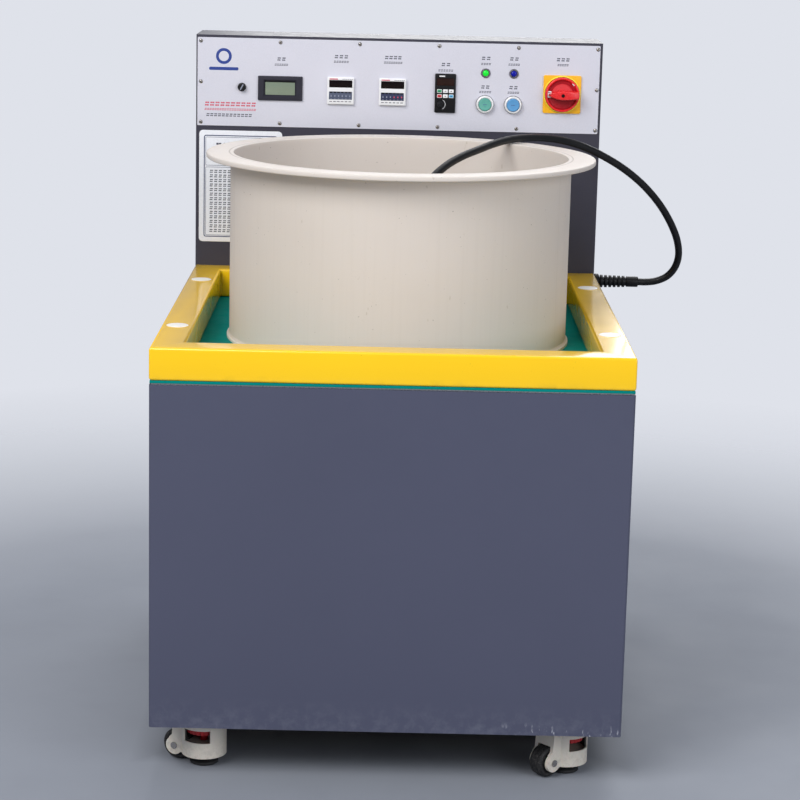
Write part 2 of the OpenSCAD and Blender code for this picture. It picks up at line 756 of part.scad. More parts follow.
base_frame();
cabinet_shell();
rear_panel();
pan_screws();
top_plate();
rubber_mat();
top_frame();
frame_caps();
m8_bolts();
barrel();
console_housing();
control_panel();
fuse_cap();
voltmeter();
timers();
keypad();
speed_knob();
lamp_bezels();
lamp_lenses();
button_bezels();
green_button();
blue_button();
panel_contact_blocks();
switch_plate();
switch_handle();
info_plate();
motor_mount();
motor_housing();
motor_rotor();
motor_fan();
fan_cowl();
terminal_box();
magnet_disc();
magnets();
drive_unit();
strain_relief();
power_cord();
cord_coil();
plug();
caster_plates();
for (i = [0:3]) {
    caster_housing(i);
    caster_axle(i);
    caster_wheel(i);
    caster_thumbwheel(i);
    caster_foot(i);
}
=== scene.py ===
import math

import bmesh
import bpy
from mathutils import Matrix, Vector


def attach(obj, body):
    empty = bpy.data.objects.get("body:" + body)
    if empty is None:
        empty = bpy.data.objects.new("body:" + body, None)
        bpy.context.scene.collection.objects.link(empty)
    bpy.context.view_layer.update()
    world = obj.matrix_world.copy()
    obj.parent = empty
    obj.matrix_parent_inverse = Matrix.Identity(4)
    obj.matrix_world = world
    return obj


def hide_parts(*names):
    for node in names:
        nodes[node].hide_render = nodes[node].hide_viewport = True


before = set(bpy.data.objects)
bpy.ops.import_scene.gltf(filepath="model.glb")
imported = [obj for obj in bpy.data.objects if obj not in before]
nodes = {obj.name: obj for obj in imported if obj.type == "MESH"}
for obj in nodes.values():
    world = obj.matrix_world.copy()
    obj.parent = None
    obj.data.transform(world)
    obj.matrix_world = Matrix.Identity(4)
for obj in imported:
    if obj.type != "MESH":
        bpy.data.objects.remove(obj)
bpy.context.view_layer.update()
scene = bpy.context.scene
MM = 0.001

# Places and sizes in millimetres, in the part's own frame
BARREL = (6.0, -68.0, 622.5)  # centre of the barrel's underside
FACE_Y = 334.0  # face of the control panel
WALL_Y = 335.5  # front wall of the console, behind the panel
TIMER_X = (-103, -11)
KEYPAD_X = 82.5
GEAR_Z = 989.5  # middle of the timers and the keypad
LAMP_X = (153.5, 203.5)  # the pilot lamps stand over the push buttons
LAMP_Z = 1026.5
BUTTON_Z = 971.5
SWITCH_AT = (290, 992)
DIAL_H = 10.0
GRIP_H = 30.0
LEAD_D = 13
GLAND_AT = (360, 394, 649)  # where the lead leaves the console
COIL_AT = (-131, -128)  # middle of the lead's coil
COIL_R = 81.5
COIL_Z = 639
COIL_TURNS = 3.62
COIL_START = -46.5  # degrees
WHEEL_ARM = 43  # from a caster's swivel axis to its axle
WHEEL_AXLE_Z = 25.2
# each caster's swivel axis, and the way its wheel points in degrees
CORNERS = {"front_left": (-281.5, -388, 155), "front_right": (281.5, -388, 222),
           "rear_left": (-281.5, 388, 205), "rear_right": (281.5, 388, 335)}


# ---------------------------------------------------------------- camera
def make_camera():
    pitch, yaw, roll = 0.2101, 0.00465, 0.0233
    right = Vector((math.cos(yaw), -math.sin(yaw), 0))
    ahead = Vector((math.sin(yaw), math.cos(yaw), 0))
    forward = ahead * math.cos(pitch) - Vector((0, 0, 1)) * math.sin(pitch)
    up = ahead * math.sin(pitch) + Vector((0, 0, 1)) * math.cos(pitch)
    cr, sr = math.cos(roll), math.sin(roll)
    axes = (cr * right + sr * up, cr * up - sr * right, -forward)
    data = bpy.data.cameras.new("camera")
    data.sensor_fit = "HORIZONTAL"
    data.sensor_width = 36
    data.lens = 106.1
    data.clip_start, data.clip_end = 0.1, 60
    cam = bpy.data.objects.new("camera", data)
    scene.collection.objects.link(cam)
    m = Matrix([[axes[c][r] for c in range(3)] + [0] for r in range(3)] + [[0, 0, 0, 1]])
    m.translation = Vector((-0.0046, -3.8765, 1.3283))
    cam.matrix_world = m
    scene.camera = cam


make_camera()


# ---------------------------------------------------------------- colours and nodes
def lin(code):
    v = [int(code[i:i + 2], 16) / 255 for i in (1, 3, 5)]
    return tuple(c / 12.92 if c <= 0.04045 else ((c + 0.055) / 1.055) ** 2.4 for c in v) + (1.0,)


def scaled(c, k):
    return tuple(min(1.0, x * k) for x in c[:3]) + (1.0,)


class Mat:
    """A node material in object coordinates, in metres, built up layer by layer."""

    def __init__(self, name, base, rough=0.5, metal=0.0, spec=0.5, **sockets):
        self.m = bpy.data.materials.new(name)
        self.m.use_nodes = True
        self.t = self.m.node_tree
        self.b = self.t.nodes["Principled BSDF"]
        self.base = lin(base) if isinstance(base, str) else base
        self.b.inputs["Base Color"].default_value = self.base
        self.b.inputs["Roughness"].default_value = rough
        self.b.inputs["Metallic"].default_value = metal
        self.b.inputs["Specular IOR Level"].default_value = spec
        for k, v in sockets.items():
            self.b.inputs[k.replace("_", " ")].default_value = v
        self.rough = rough
        self.m.diffuse_color = self.base
        self.color = None
        self.height = None
        self.coord = self.t.nodes.new("ShaderNodeTexCoord").outputs["Object"]

    def node(self, kind, **values):
        n = self.t.nodes.new(kind)
        for k, v in values.items():
            setattr(n, k, v)
        return n

    def link(self, a, b):
        self.t.links.new(a, b)

    def math(self, op, a, b=0.0, clamp=False):
        n = self.node("ShaderNodeMath", operation=op, use_clamp=clamp)
        for i, v in enumerate((a, b)):
            if isinstance(v, (int, float)):
                n.inputs[i].default_value = v
            else:
                self.link(v, n.inputs[i])
        return n.outputs[0]

    def xyz(self):
        n = self.node("ShaderNodeSeparateXYZ")
        self.link(self.coord, n.inputs[0])
        return n.outputs

    def mapped(self, scale=(1, 1, 1), move=(0, 0, 0)):
        n = self.node("ShaderNodeMapping")
        n.inputs["Scale"].default_value = scale
        n.inputs["Location"].default_value = move
        self.link(self.coord, n.inputs["Vector"])
        return n.outputs[0]

    def noise(self, scale, detail=3.0, rough=0.55, stretch=(1, 1, 1), move=(0, 0, 0)):
        n = self.node("ShaderNodeTexNoise")
        n.inputs["Scale"].default_value = scale
        n.inputs["Detail"].default_value = detail
        n.inputs["Roughness"].default_value = rough
        self.link(self.mapped(stretch, move), n.inputs["Vector"])
        return n.outputs["Fac"]

    def ramp(self, value, low, high, a=0.0, b=1.0):
        n = self.node("ShaderNodeMapRange")
        n.inputs["From Min"].default_value = low
        n.inputs["From Max"].default_value = high
        n.inputs["To Min"].default_value = a
        n.inputs["To Max"].default_value = b
        self.link(value, n.inputs["Value"])
        return n.outputs["Result"]

    def paint(self, mask, colour):
        """Lays a colour over what is there, where the mask says."""
        n = self.node("ShaderNodeMix", data_type="RGBA")
        self.link(mask, n.inputs[0])
        if self.color is None:
            n.inputs[6].default_value = self.base
        else:
            self.link(self.color, n.inputs[6])
        n.inputs[7].default_value = colour if not isinstance(colour, str) else lin(colour)
        self.color = n.outputs[2]
        self.link(self.color, self.b.inputs["Base Color"])
        return self

    def mottle(self, scale, dark=0.9, light=1.08, **kw):
        """Colour that wanders a little round the base."""
        f = self.noise(scale, **kw)
        self.paint(self.ramp(f, 0.25, 0.5, 1.0, 0.0), scaled(self.base, dark))
        self.paint(self.ramp(f, 0.55, 0.8, 0.0, 1.0), scaled(self.base, light))
        return self

    def gloss(self, scale, spread, **kw):
        """Roughness that wanders round its value."""
        f = self.noise(scale, **kw)
        rough = self.ramp(f, 0.3, 0.7, self.rough - spread, self.rough + spread)
        self.link(rough, self.b.inputs["Roughness"])
        return self

    def bump(self, height, depth, strength=1.0):
        n = self.node("ShaderNodeBump")
        n.inputs["Strength"].default_value = strength
        n.inputs["Distance"].default_value = depth
        self.link(height, n.inputs["Height"])
        if self.height is not None:
            self.link(self.height, n.inputs["Normal"])
        self.height = n.outputs[0]
        self.link(self.height, self.b.inputs["Normal"])
        return self

    def grain(self, scale, depth, strength=1.0, **kw):
        return self.bump(self.noise(scale, **kw), depth, strength)


def band(m, value, centre, width):
    """1 on the line value = centre, falling to 0 at width from it."""
    away = m.math("ABSOLUTE", m.math("SUBTRACT", value, centre))
    return m.math("SUBTRACT", 1.0, m.math("DIVIDE", away, width), clamp=True)


def make_cabinet_paint(name, base):
    m = Mat(name, base, rough=0.4, spec=0.32)
    m.mottle(2.2, 0.95, 1.05, detail=2.0)
    m.gloss(38, 0.05, detail=4.0)
    x, y, z = m.xyz()
    # a rubbed lower edge with small chips, and fine dust that settles near it
    low = m.ramp(z, 0.135, 0.084, 0.0, 1.0)
    dust = m.math("MULTIPLY", low, m.ramp(m.noise(60, detail=6.0, rough=0.7), 0.45, 0.75, 0.0, 0.28))
    m.paint(dust, lin("#8b8f9c"))
    chips = m.math("MULTIPLY", m.ramp(z, 0.106, 0.084, 0.0, 1.0), m.ramp(x, 0.12, 0.22, 0.0, 1.0))
    strokes = m.ramp(m.noise(150, detail=2.0, stretch=(1.0, 1.0, 0.35)), 0.62, 0.68, 0.0, 0.75)
    m.paint(m.math("MULTIPLY", chips, strokes), lin("#b9bcc6"))
    m.grain(1300, 0.00012, 0.35, detail=2.0)
    m.grain(240, 0.00015, 0.12, detail=1.0)
    return m.m


def make_frame_paint():
    m = Mat("frame_paint", "#ffcd0a", rough=0.22, spec=0.5, Coat_Weight=0.5, Coat_Roughness=0.08)
    m.mottle(3, 0.95, 1.03, detail=1.0)
    m.gloss(14, 0.03, detail=1.0)
    x, y, z = m.xyz()
    # ground welds across the four mitres, and patches of painted shade with grime, darker towards the bars'
    # foot
    ax = m.math("SUBTRACT", 0.36, m.math("ABSOLUTE", x))
    for along in (m.math("ADD", y, 0.47), m.math("SUBTRACT", 0.334, y)):
        seam = band(m, m.math("SUBTRACT", ax, along), 0.0, 0.0035)
        m.bump(seam, 0.0004, 0.35)
    patches = m.ramp(m.noise(42, detail=5.0), 0.5, 0.72, 0.0, 0.3)
    # painted shade with grime: olive patches near the bottom of the bars, where they meet the mat
    foot_shade_and_grime = m.math("MULTIPLY", m.ramp(z, 0.634, 0.6225, 0.0, 1.0), patches)
    m.paint(foot_shade_and_grime, lin("#8a7a12"))
    m.paint(m.ramp(m.noise(330, detail=1.0), 0.77, 0.79, 0.0, 0.5), lin("#8b7724"))
    m.grain(900, 0.00006, 0.12, detail=1.0)
    m.grain(30, 0.0006, 0.05, detail=1.0)
    return m.m


def make_barrel_plastic():
    m = Mat("barrel_plastic", "#d3cbc4", rough=0.5, spec=0.28, Subsurface_Weight=0.16, Subsurface_Scale=0.02)
    m.b.inputs["Subsurface Radius"].default_value = (1.0, 0.85, 0.7)
    m.mottle(3.5, 0.965, 1.03, detail=3.0)
    m.gloss(30, 0.07, detail=4.0)
    x, y, z = m.xyz()
    dx = m.math("SUBTRACT", x, BARREL[0] * MM)
    dy = m.math("SUBTRACT", y, BARREL[1] * MM)
    turn = m.math("ARCTAN2", dy, dx)
    r = m.math("SQRT", m.math("ADD", m.math("MULTIPLY", dx, dx), m.math("MULTIPLY", dy, dy)))
    wall = m.math("MULTIPLY", m.ramp(z, 0.905, 0.912, 1.0, 0.0), m.ramp(r, 0.2735, 0.2745, 0.0, 1.0))
    # sheet welds down the wall, streaks from the extruded sheet, specks and rubbed marks
    for angle in (math.radians(-163.3), math.radians(-24.5)):
        line = m.math("MULTIPLY", wall, band(m, turn, angle, 0.0055))
        m.paint(m.math("MULTIPLY", line, 0.55), lin("#c2bab0"))
        m.bump(line, 0.0005, 0.5)
    streak = m.node("ShaderNodeTexNoise")
    streak.inputs["Scale"].default_value = 55
    streak.inputs["Detail"].default_value = 2
    c = m.node("ShaderNodeCombineXYZ")
    m.link(turn, c.inputs[0])
    m.link(m.math("MULTIPLY", z, 0.06), c.inputs[1])
    m.link(c.outputs[0], streak.inputs["Vector"])
    m.paint(m.math("MULTIPLY", wall, m.ramp(streak.outputs["Fac"], 0.5, 0.8, 0.0, 0.16)), lin("#c3bab0"))
    m.paint(m.ramp(m.noise(75, detail=2.0, stretch=(1, 1, 0.5)), 0.735, 0.76, 0.0, 0.35), lin("#a89c8a"))
    m.paint(m.ramp(m.noise(310, detail=1.0), 0.785, 0.8, 0.0, 0.8), lin("#5c544c"))
    rim = m.math("MULTIPLY", band(m, r, 0.2770, 0.0018), m.ramp(z, 0.9205, 0.9215, 0.0, 1.0))
    m.paint(m.math("MULTIPLY", rim, 0.75), lin("#9a9088"))
    m.bump(rim, -0.0006, 0.7)
    # painted highlight: the lip of the foot and the wall just above it lighter
    foot = m.math("MULTIPLY", m.ramp(z, 0.6285, 0.6265, 0.0, 1.0), m.ramp(r, 0.272, 0.274, 0.0, 1.0))
    m.paint(m.math("MULTIPLY", foot, 0.6), lin("#f2efe9"))
    m.grain(420, 0.0002, 0.18, detail=3.0)
    m.grain(24, 0.0012, 0.1, detail=2.0)
    return m.m


def make_panel_metal():
    m = Mat("panel_aluminium", "#dddde8", rough=0.44, metal=0.3, spec=0.5)
    m.gloss(900, 0.07, detail=2.0)
    m.mottle(1500, 0.9, 1.07, detail=1.0)
    m.mottle(480, 0.955, 1.03, detail=2.0)
    m.mottle(5, 0.975, 1.02)
    m.grain(2200, 0.00006, 0.4, detail=1.0)
    return m.m


def make_rubber_mat():
    m = Mat("mat_rubber", "#00827c", rough=0.8, spec=0.06)
    m.mottle(9, 0.88, 1.12, detail=4.0)
    m.paint(m.ramp(m.noise(260, detail=2.0), 0.74, 0.8, 0.0, 0.3), lin("#3f8f88"))
    m.gloss(50, 0.08)
    m.grain(1100, 0.00025, 0.45, detail=2.0)
    m.grain(90, 0.0005, 0.12)
    return m.m


def simple(name, base, rough, metal=0.0, grain=900, depth=0.00008, strength=0.3, var=0.06, spec=0.5,
           detail=2.0, **kw):
    """One colour with a fine grain, for paint, plastic, rubber, ink or plain metal."""
    m = Mat(name, base, rough=rough, metal=metal, spec=spec, **kw)
    m.mottle(grain * 0.04 + 8, 1.0 - var, 1.0 + var)
    m.gloss(grain * 0.15 + 20, min(0.08, rough * 0.3))
    m.grain(grain, depth, strength, detail=detail)
    return m.m


def make_brushed(name, base, rough, stretch, metal=1.0):
    m = Mat(name, base, rough=rough, metal=metal)
    m.gloss(320, 0.08, detail=3.0, stretch=stretch)
    m.mottle(300, 0.94, 1.05, stretch=stretch)
    m.grain(520, 0.00006, 0.3, stretch=stretch, detail=2.0)
    return m.m


def make_screw_steel():
    m = Mat("screw_steel", "#b3aeaa", rough=0.24, metal=1.0)
    m.mottle(300, 0.92, 1.05)
    x, y, z = m.xyz()
    # painted shade: each head darker the deeper its surface lies towards the panel, in its slots and round
    # its rim
    painted_slot_shade = m.math("MULTIPLY", m.ramp(y, 0.3324, 0.3331, 0.0, 0.85), m.ramp(y, 0.3345, 0.3346, 1.0, 0.0))
    m.paint(painted_slot_shade, lin("#2b2624"))
    m.gloss(320, 0.06)
    m.grain(520, 0.00005, 0.25)
    return m.m


def make_tyre():
    m = Mat("wheel_plastic", "#1a1a1c", rough=0.6, spec=0.4)
    m.paint(m.ramp(m.noise(240, detail=5.0, rough=0.7), 0.5, 0.72, 0.0, 0.55), lin("#5f5b58"))
    m.paint(m.ramp(m.noise(900, detail=2.0), 0.68, 0.74, 0.0, 0.6), lin("#a39d96"))
    m.gloss(160, 0.1)
    m.grain(700, 0.0003, 0.5, detail=4.0)
    return m.m


def make_caster_plastic():
    m = Mat("caster_plastic", "#dcd5c9", rough=0.42, spec=0.45, Subsurface_Weight=0.08,
            Subsurface_Scale=0.004)
    m.mottle(22, 0.94, 1.04)
    x, y, z = m.xyz()
    patches = m.ramp(m.noise(130, detail=5.0, rough=0.7), 0.45, 0.75, 0.0, 0.5)
    dirt = m.math("MULTIPLY", m.ramp(z, 0.05, 0.016, 0.0, 1.0), patches)
    m.paint(dirt, lin("#857b70"))
    # the inside round the thumbwheels, dark with painted shade and grime
    inner_shade_and_grime = m.math("MULTIPLY", m.ramp(z, 0.0365, 0.0375, 0.0, 1.0), m.ramp(z, 0.0665, 0.0655, 0.0, 1.0))
    dx = m.math("SUBTRACT", m.math("ABSOLUTE", x), 0.2815)
    dy = m.math("SUBTRACT", m.math("ABSOLUTE", y), 0.388)
    r = m.math("SQRT", m.math("ADD", m.math("MULTIPLY", dx, dx), m.math("MULTIPLY", dy, dy)))
    m.paint(m.math("MULTIPLY", inner_shade_and_grime, m.ramp(r, 0.0338, 0.0325, 0.0, 0.94)), lin("#131212"))
    m.gloss(60, 0.07)
    m.grain(600, 0.00012, 0.3)
    return m.m


def make_cord_rubber():
    m = Mat("cord_rubber", "#0d0d10", rough=0.4, spec=0.36)
    m.mottle(60, 0.85, 1.25)
    m.paint(m.ramp(m.noise(150, detail=4.0), 0.6, 0.85, 0.0, 0.09), lin("#54565c"))
    m.gloss(70, 0.09)
    m.grain(1500, 0.00012, 0.35)
    return m.m


def make_lcd():
    m = Mat("lcd", "#7c8a78", rough=0.18, spec=0.6, Coat_Weight=0.6, Coat_Roughness=0.05)
    x, y, z = m.xyz()
    # painted shade: the window lighter towards its bottom and darker under the bezel's top edge
    m.paint(m.ramp(z, 0.979, 1.005, 0.35, 0.0), lin("#8d9a86"))
    m.mottle(420, 0.985, 1.015)
    m.gloss(40, 0.03)
    m.grain(2600, 0.00001, 0.1)
    return m.m


M = {
    "cabinet": make_cabinet_paint("cabinet_paint", "#4e5165"),
    "console": make_cabinet_paint("console_paint", "#3d3c48"),
    "yellow": make_frame_paint(),
    "barrel": make_barrel_plastic(),
    "panel": make_panel_metal(),
    "mat": make_rubber_mat(),
    "inner": simple("inner_paint", "#33363e", 0.5, grain=700, strength=0.35),
    "stainless": make_brushed("stainless", "#c3c5c7", 0.3, (1, 30, 1)),
    "screw": make_screw_steel(),
    "steel": make_brushed("steel", "#b5b5b5", 0.32, (1, 1, 12)),
    "disc": make_brushed("disc_aluminium", "#c9cbce", 0.35, (1, 1, 1)),
    "magnet": simple("magnet_steel", "#3f3f45", 0.35, metal=0.9),
    "motor": simple("motor_paint", "#5c6b78", 0.45, grain=500, strength=0.4),
    "white": simple("white_plastic", "#eeeef0", 0.34, var=0.02, grain=800),
    "cap_white": simple("cap_plastic", "#f3f2ec", 0.4, var=0.03, grain=300),
    "black": simple("black_plastic", "#0f0f13", 0.4, var=0.12, grain=1400, strength=0.4, spec=0.3),
    "meter": simple("meter_plastic", "#2a2935", 0.45, var=0.08, grain=1600, strength=0.4, spec=0.32),
    "shade": simple("shade", "#08080b", 0.6, var=0.1, grain=1600, spec=0.15),
    "glass_dark": simple("display_dark", "#0d0306", 0.2, var=0.15, grain=2200, strength=0.05, spec=0.25),
    "display_brown": simple("display_brown", "#2a1713", 0.22, var=0.15, grain=2200, strength=0.05, spec=0.25),
    "lcd": make_lcd(),
    "strip": simple("key_strip", "#545c72", 0.4, var=0.1, grain=1800),
    "strip_navy": simple("key_strip_navy", "#2c3354", 0.4, var=0.1, grain=1800),
    "key_grey": simple("key_grey", "#8d93a6", 0.4, var=0.05, grain=1800),
    "film": simple("info_film", "#eceef4", 0.3, var=0.015, grain=1200, strength=0.12, Coat_Weight=0.3,
                   Coat_Roughness=0.15),
    "ink_dark": simple("ink_dark", "#34364a", 0.5, var=0.1, grain=3000, strength=0.1),
    "ink_blue": simple("ink_blue", "#27408f", 0.45, var=0.06, grain=3000, strength=0.1),
    "ink_frame": simple("ink_frame", "#3f4a6b", 0.45, var=0.06, grain=3000, strength=0.1),
    "ink_red": simple("ink_red", "#cf4a63", 0.45, var=0.06, grain=3000, strength=0.1),
    "ink_line": simple("ink_line", "#4d5f93", 0.45, var=0.06, grain=3000, strength=0.1),
    "bezel": simple("bezel_metal", "#7d7b82", 0.3, metal=0.85, var=0.05, grain=1200, strength=0.2),
    "bezel_white": simple("bezel_light", "#e9e9ea", 0.3, metal=0.15, var=0.03, grain=1200, strength=0.2),
    "lens_green": simple("lens_green", "#12b932", 0.16, var=0.08, grain=600, strength=0.1, spec=0.4),
    "lens_blue": simple("lens_blue", "#0713a0", 0.16, var=0.08, grain=600, strength=0.1, spec=0.35),
    "teal": simple("green_plastic", "#63ac9f", 0.32, var=0.04, grain=900),
    "sky": simple("blue_plastic", "#5c9cd0", 0.32, var=0.04, grain=900),
    "switch_yellow": simple("yellow_plastic", "#f9b916", 0.36, var=0.05, grain=1300),
    "switch_rim_highlight": simple("yellow_rim_highlight", "#fff04a", 0.3, var=0.03, grain=1300),
    "red": simple("red_plastic", "#e8262a", 0.28, var=0.04, grain=1300),
    "red_painted_shade": simple("red_painted_shade", "#a30c1c", 0.34, var=0.06, grain=1300, spec=0.3),
    "red_boss": simple("red_boss", "#d8383f", 0.42, var=0.05, grain=1300),
    "key_green": simple("key_green", "#2f9c6c", 0.4, var=0.05, grain=1800),
    "key_red": simple("key_red", "#d23a44", 0.4, var=0.05, grain=1800),
    "key_blue": simple("key_blue", "#57b0dd", 0.4, var=0.05, grain=1800),
    "cord": make_cord_rubber(),
    "nylon": make_caster_plastic(),
    "tyre": make_tyre(),
    "pad": simple("pad_rubber", "#1b1b1d", 0.6, var=0.15, grain=500, depth=0.0002, strength=0.5),
    "thumb": simple("thumb_red", "#b3171d", 0.38, var=0.08, grain=700),
    "zinc": make_brushed("zinc_plate", "#b8b4a8", 0.36, (1, 1, 1)),
    "brass": make_brushed("plug_brass", "#c9a655", 0.28, (1, 1, 1)),
}
lit_lens = M["lens_green"].node_tree.nodes["Principled BSDF"]
lit_lens.inputs["Emission Color"].default_value = lin("#12e02e")
lit_lens.inputs["Emission Strength"].default_value = 0.55


# ---------------------------------------------------------------- mesh helpers (dimensions in mm)
def panel_place(x, z, out=0.0, face=FACE_Y):
    """Local x right, y up, z towards the operator, on the panel's face."""
    return Matrix(((1, 0, 0, x), (0, 0, -1, face - out), (0, 1, 0, z), (0, 0, 0, 1)))


def turned(place, degrees):
    """The same place, turned round its own z."""
    return place @ Matrix.Rotation(math.radians(degrees), 4, "Z")


def piece(name, bm, mats, body, gone=(), sharp=38):
    """Makes the mesh an object that rides on a body and replaces CAD nodes."""
    for e in bm.edges:
        e.smooth = len(e.link_faces) == 2 and e.calc_face_angle(math.pi) < math.radians(sharp)
    for f in bm.faces:
        f.smooth = True
    bmesh.ops.scale(bm, vec=(MM, MM, MM), verts=bm.verts)
    me = bpy.data.meshes.new(name)
    bm.to_mesh(me)
    bm.free()
    ob = bpy.data.objects.new(name, me)
    scene.collection.objects.link(ob)
    for m in mats:
        me.materials.append(m)
    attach(ob, body)
    if gone:
        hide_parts(*gone)
    return ob


def put(verts, faces, place, index):
    """Moves new geometry into place and gives it a material index."""
    for v in verts:
        v.co = place @ v.co
    for f in faces:
        f.material_index = index


def loft(bm, loops, place=Matrix(), index=0, start_cap=True, end_cap=True, closed=False):
    """Skins a row of loops with the same number of points. A loop of one point closes to it."""
    rings = [[bm.verts.new(p) for p in loop] for loop in loops]
    faces = []
    pairs = list(zip(rings, rings[1:])) + ([(rings[-1], rings[0])] if closed else [])
    for a, b in pairs:
        n = max(len(a), len(b))
        for k in range(n):
            j = (k + 1) % n
            if len(a) == 1:
                faces.append(bm.faces.new((a[0], b[k], b[j])))
            elif len(b) == 1:
                faces.append(bm.faces.new((a[k], b[0], a[j])))
            else:
                faces.append(bm.faces.new((a[k], b[k], b[j], a[j])))
    if not closed:
        if start_cap and len(rings[0]) > 2:
            faces.append(bm.faces.new(rings[0]))
        if end_cap and len(rings[-1]) > 2:
            faces.append(bm.faces.new(rings[-1]))
    put([v for ring in rings for v in ring], faces, place, index)
    bmesh.ops.recalc_face_normals(bm, faces=faces)


def lathe(bm, profile, segs=64, place=Matrix(), index=0, closed=False, wobble=None):
    """Spins a line of (radius, height) points round the place's z axis."""
    def ring(r, z):
        if r < 1e-6:
            return [(0, 0, z)]
        out = []
        for k in range(segs):
            a = 2 * math.pi * k / segs
            d = wobble(a, r, z) if wobble else 0.0
            out.append(((r + d) * math.cos(a), (r + d) * math.sin(a), z))
        return out
    loft(bm, [ring(r, z) for r, z in profile], place, index, closed=closed)


def rounded_line(points, steps=4):
    """Corner points (a, b, radius) as a line with each corner rounded."""
    out = []
    for i, (x, y, r) in enumerate(points):
        if r <= 0 or i in (0, len(points) - 1):
            out.append((x, y))
            continue
        p, a, b = Vector((x, y)), Vector(points[i - 1][:2]), Vector(points[i + 1][:2])
        u, v = (a - p).normalized(), (b - p).normalized()
        angle = u.angle(v)
        t = min(r / math.tan(angle / 2), (a - p).length * 0.48, (b - p).length * 0.48)
        q0, q1 = p + u * t, p + v * t
        for k in range(steps + 1):
            s = k / steps
            out.append(tuple(q0 * (1 - s) ** 2 + p * 2 * s * (1 - s) + q1 * s * s))
    return out


def rrect(w, h, r, z, n=5, cx=0.0, cy=0.0):
    """A rectangle with round corners as one loop."""
    out = []
    r = max(0.02, min(r, w / 2 - 0.01, h / 2 - 0.01))
    for qx, qy, a0 in ((1, -1, -90), (1, 1, 0), (-1, 1, 90), (-1, -1, 180)):
        for k in range(n + 1):
            a = math.radians(a0 + 90 * k / n)
            px, py = qx * (w / 2 - r) + r * math.cos(a), qy * (h / 2 - r) + r * math.sin(a)
            out.append((cx + px, cy + py, z))
    return out


def pad(bm, w, h, r, z0, z1, edge=0.4, place=Matrix(), index=0, cx=0.0, cy=0.0, steps=3, n=5):
    """A flat plate with round corners and a rounded top edge."""
    loops = [rrect(w, h, r, z0, n, cx, cy)]
    for k in range(steps + 1):
        a = math.pi / 2 * k / steps
        d = edge * (1 - math.cos(a))
        loops.append(rrect(w - 2 * d, h - 2 * d, r - d, z1 - edge + edge * math.sin(a), n, cx, cy))
    loft(bm, loops, place, index)


def tray(bm, w, h, r, z0, z1, inner, depth, edge=0.5, place=Matrix(), index=0, slope=0.0, n=5):
    """A plate with a rounded outer edge and a sunk window: inner is (w, h, r, cx, cy)."""
    iw, ih, ir, cx, cy = inner
    loops = [rrect(w, h, r, z0, n)]
    for k in range(4):
        a = math.pi / 2 * k / 3
        d = edge * (1 - math.cos(a))
        loops.append(rrect(w - 2 * d, h - 2 * d, r - d, z1 - edge + edge * math.sin(a), n))
    e = 0.25
    loops.append(rrect(iw + 2 * slope + 2 * e, ih + 2 * slope + 2 * e, ir + e, z1, n, cx, cy))
    loops.append(rrect(iw + 2 * slope, ih + 2 * slope, ir, z1 - e, n, cx, cy))
    loops.append(rrect(iw, ih, ir, z1 - depth, n, cx, cy))
    loft(bm, loops, place, index)


def block(bm, low, high, r=0.5, place=Matrix(), index=0, segs=2):
    """A box with rounded edges, made apart and then copied in."""
    part = bmesh.new()
    bmesh.ops.create_cube(part, size=1.0)
    centre = [(a + b) / 2 for a, b in zip(low, high)]
    size = [b - a for a, b in zip(low, high)]
    fit = Matrix.Translation(centre) @ Matrix.Diagonal((*size, 1))
    bmesh.ops.transform(part, matrix=fit, verts=part.verts)
    if r > 0:
        bmesh.ops.bevel(part, geom=list(part.edges), offset=r, segments=segs, affect="EDGES", profile=0.5)
    part.verts.index_update()
    verts = [bm.verts.new(v.co) for v in part.verts]
    faces = [bm.faces.new([verts[v.index] for v in f.verts]) for f in part.faces]
    part.free()
    put(verts, faces, place, index)
    bmesh.ops.recalc_face_normals(bm, faces=faces)


def soften(name, width, mat, segs=2, angle=32):
    """A CAD node keeps its shape and gets small rounded edges and its finish."""
    ob = nodes[name]
    ob.data.materials.clear()
    ob.data.materials.append(mat)
    weld = ob.modifiers.new("weld", "WELD")
    weld.merge_threshold = 0.00001
    if width > 0:
        bev = ob.modifiers.new("edges", "BEVEL")
        bev.width = width * MM
        bev.segments = segs
        bev.limit_method = "ANGLE"
        bev.angle_limit = math.radians(angle)
        bev.use_clamp_overlap = True
    ob.modifiers.new("normals", "WEIGHTED_NORMAL").keep_sharp = False
    return ob


# ---------------------------------------------------------------- power lead
ROUTE = [
    (446, 394, 649), (462, 394, 649), (480, 393, 652), (498, 390, 661), (511, 385, 678), (516, 377, 702),
    (511, 365, 730), (499, 352, 758), (481, 338, 788), (459, 322, 816), (432, 305, 843), (400, 287, 868),
    (364, 268, 890), (327, 249, 908), (291, 228, 920), (256, 203, 927), (222, 170, 930), (191, 133, 930),
    (163, 97, 926), (136, 62, 919), (108, 28, 911), (80, -5, 898), (54, -36, 877), (32, -62, 848),
    (14, -84, 812), (1, -102, 770), (-8, -115, 726), (-16, -126, 690), (-28, -139, 662), (-46, -157, 644),
    (-60, -172, 639), (-75, -187, 639)]


def step(t, a, b):
    """0 up to a, 1 from b, and smooth between them."""
    s = min(1.0, max(0.0, (t - a) / (b - a)))
    return s * s * (3 - 2 * s)


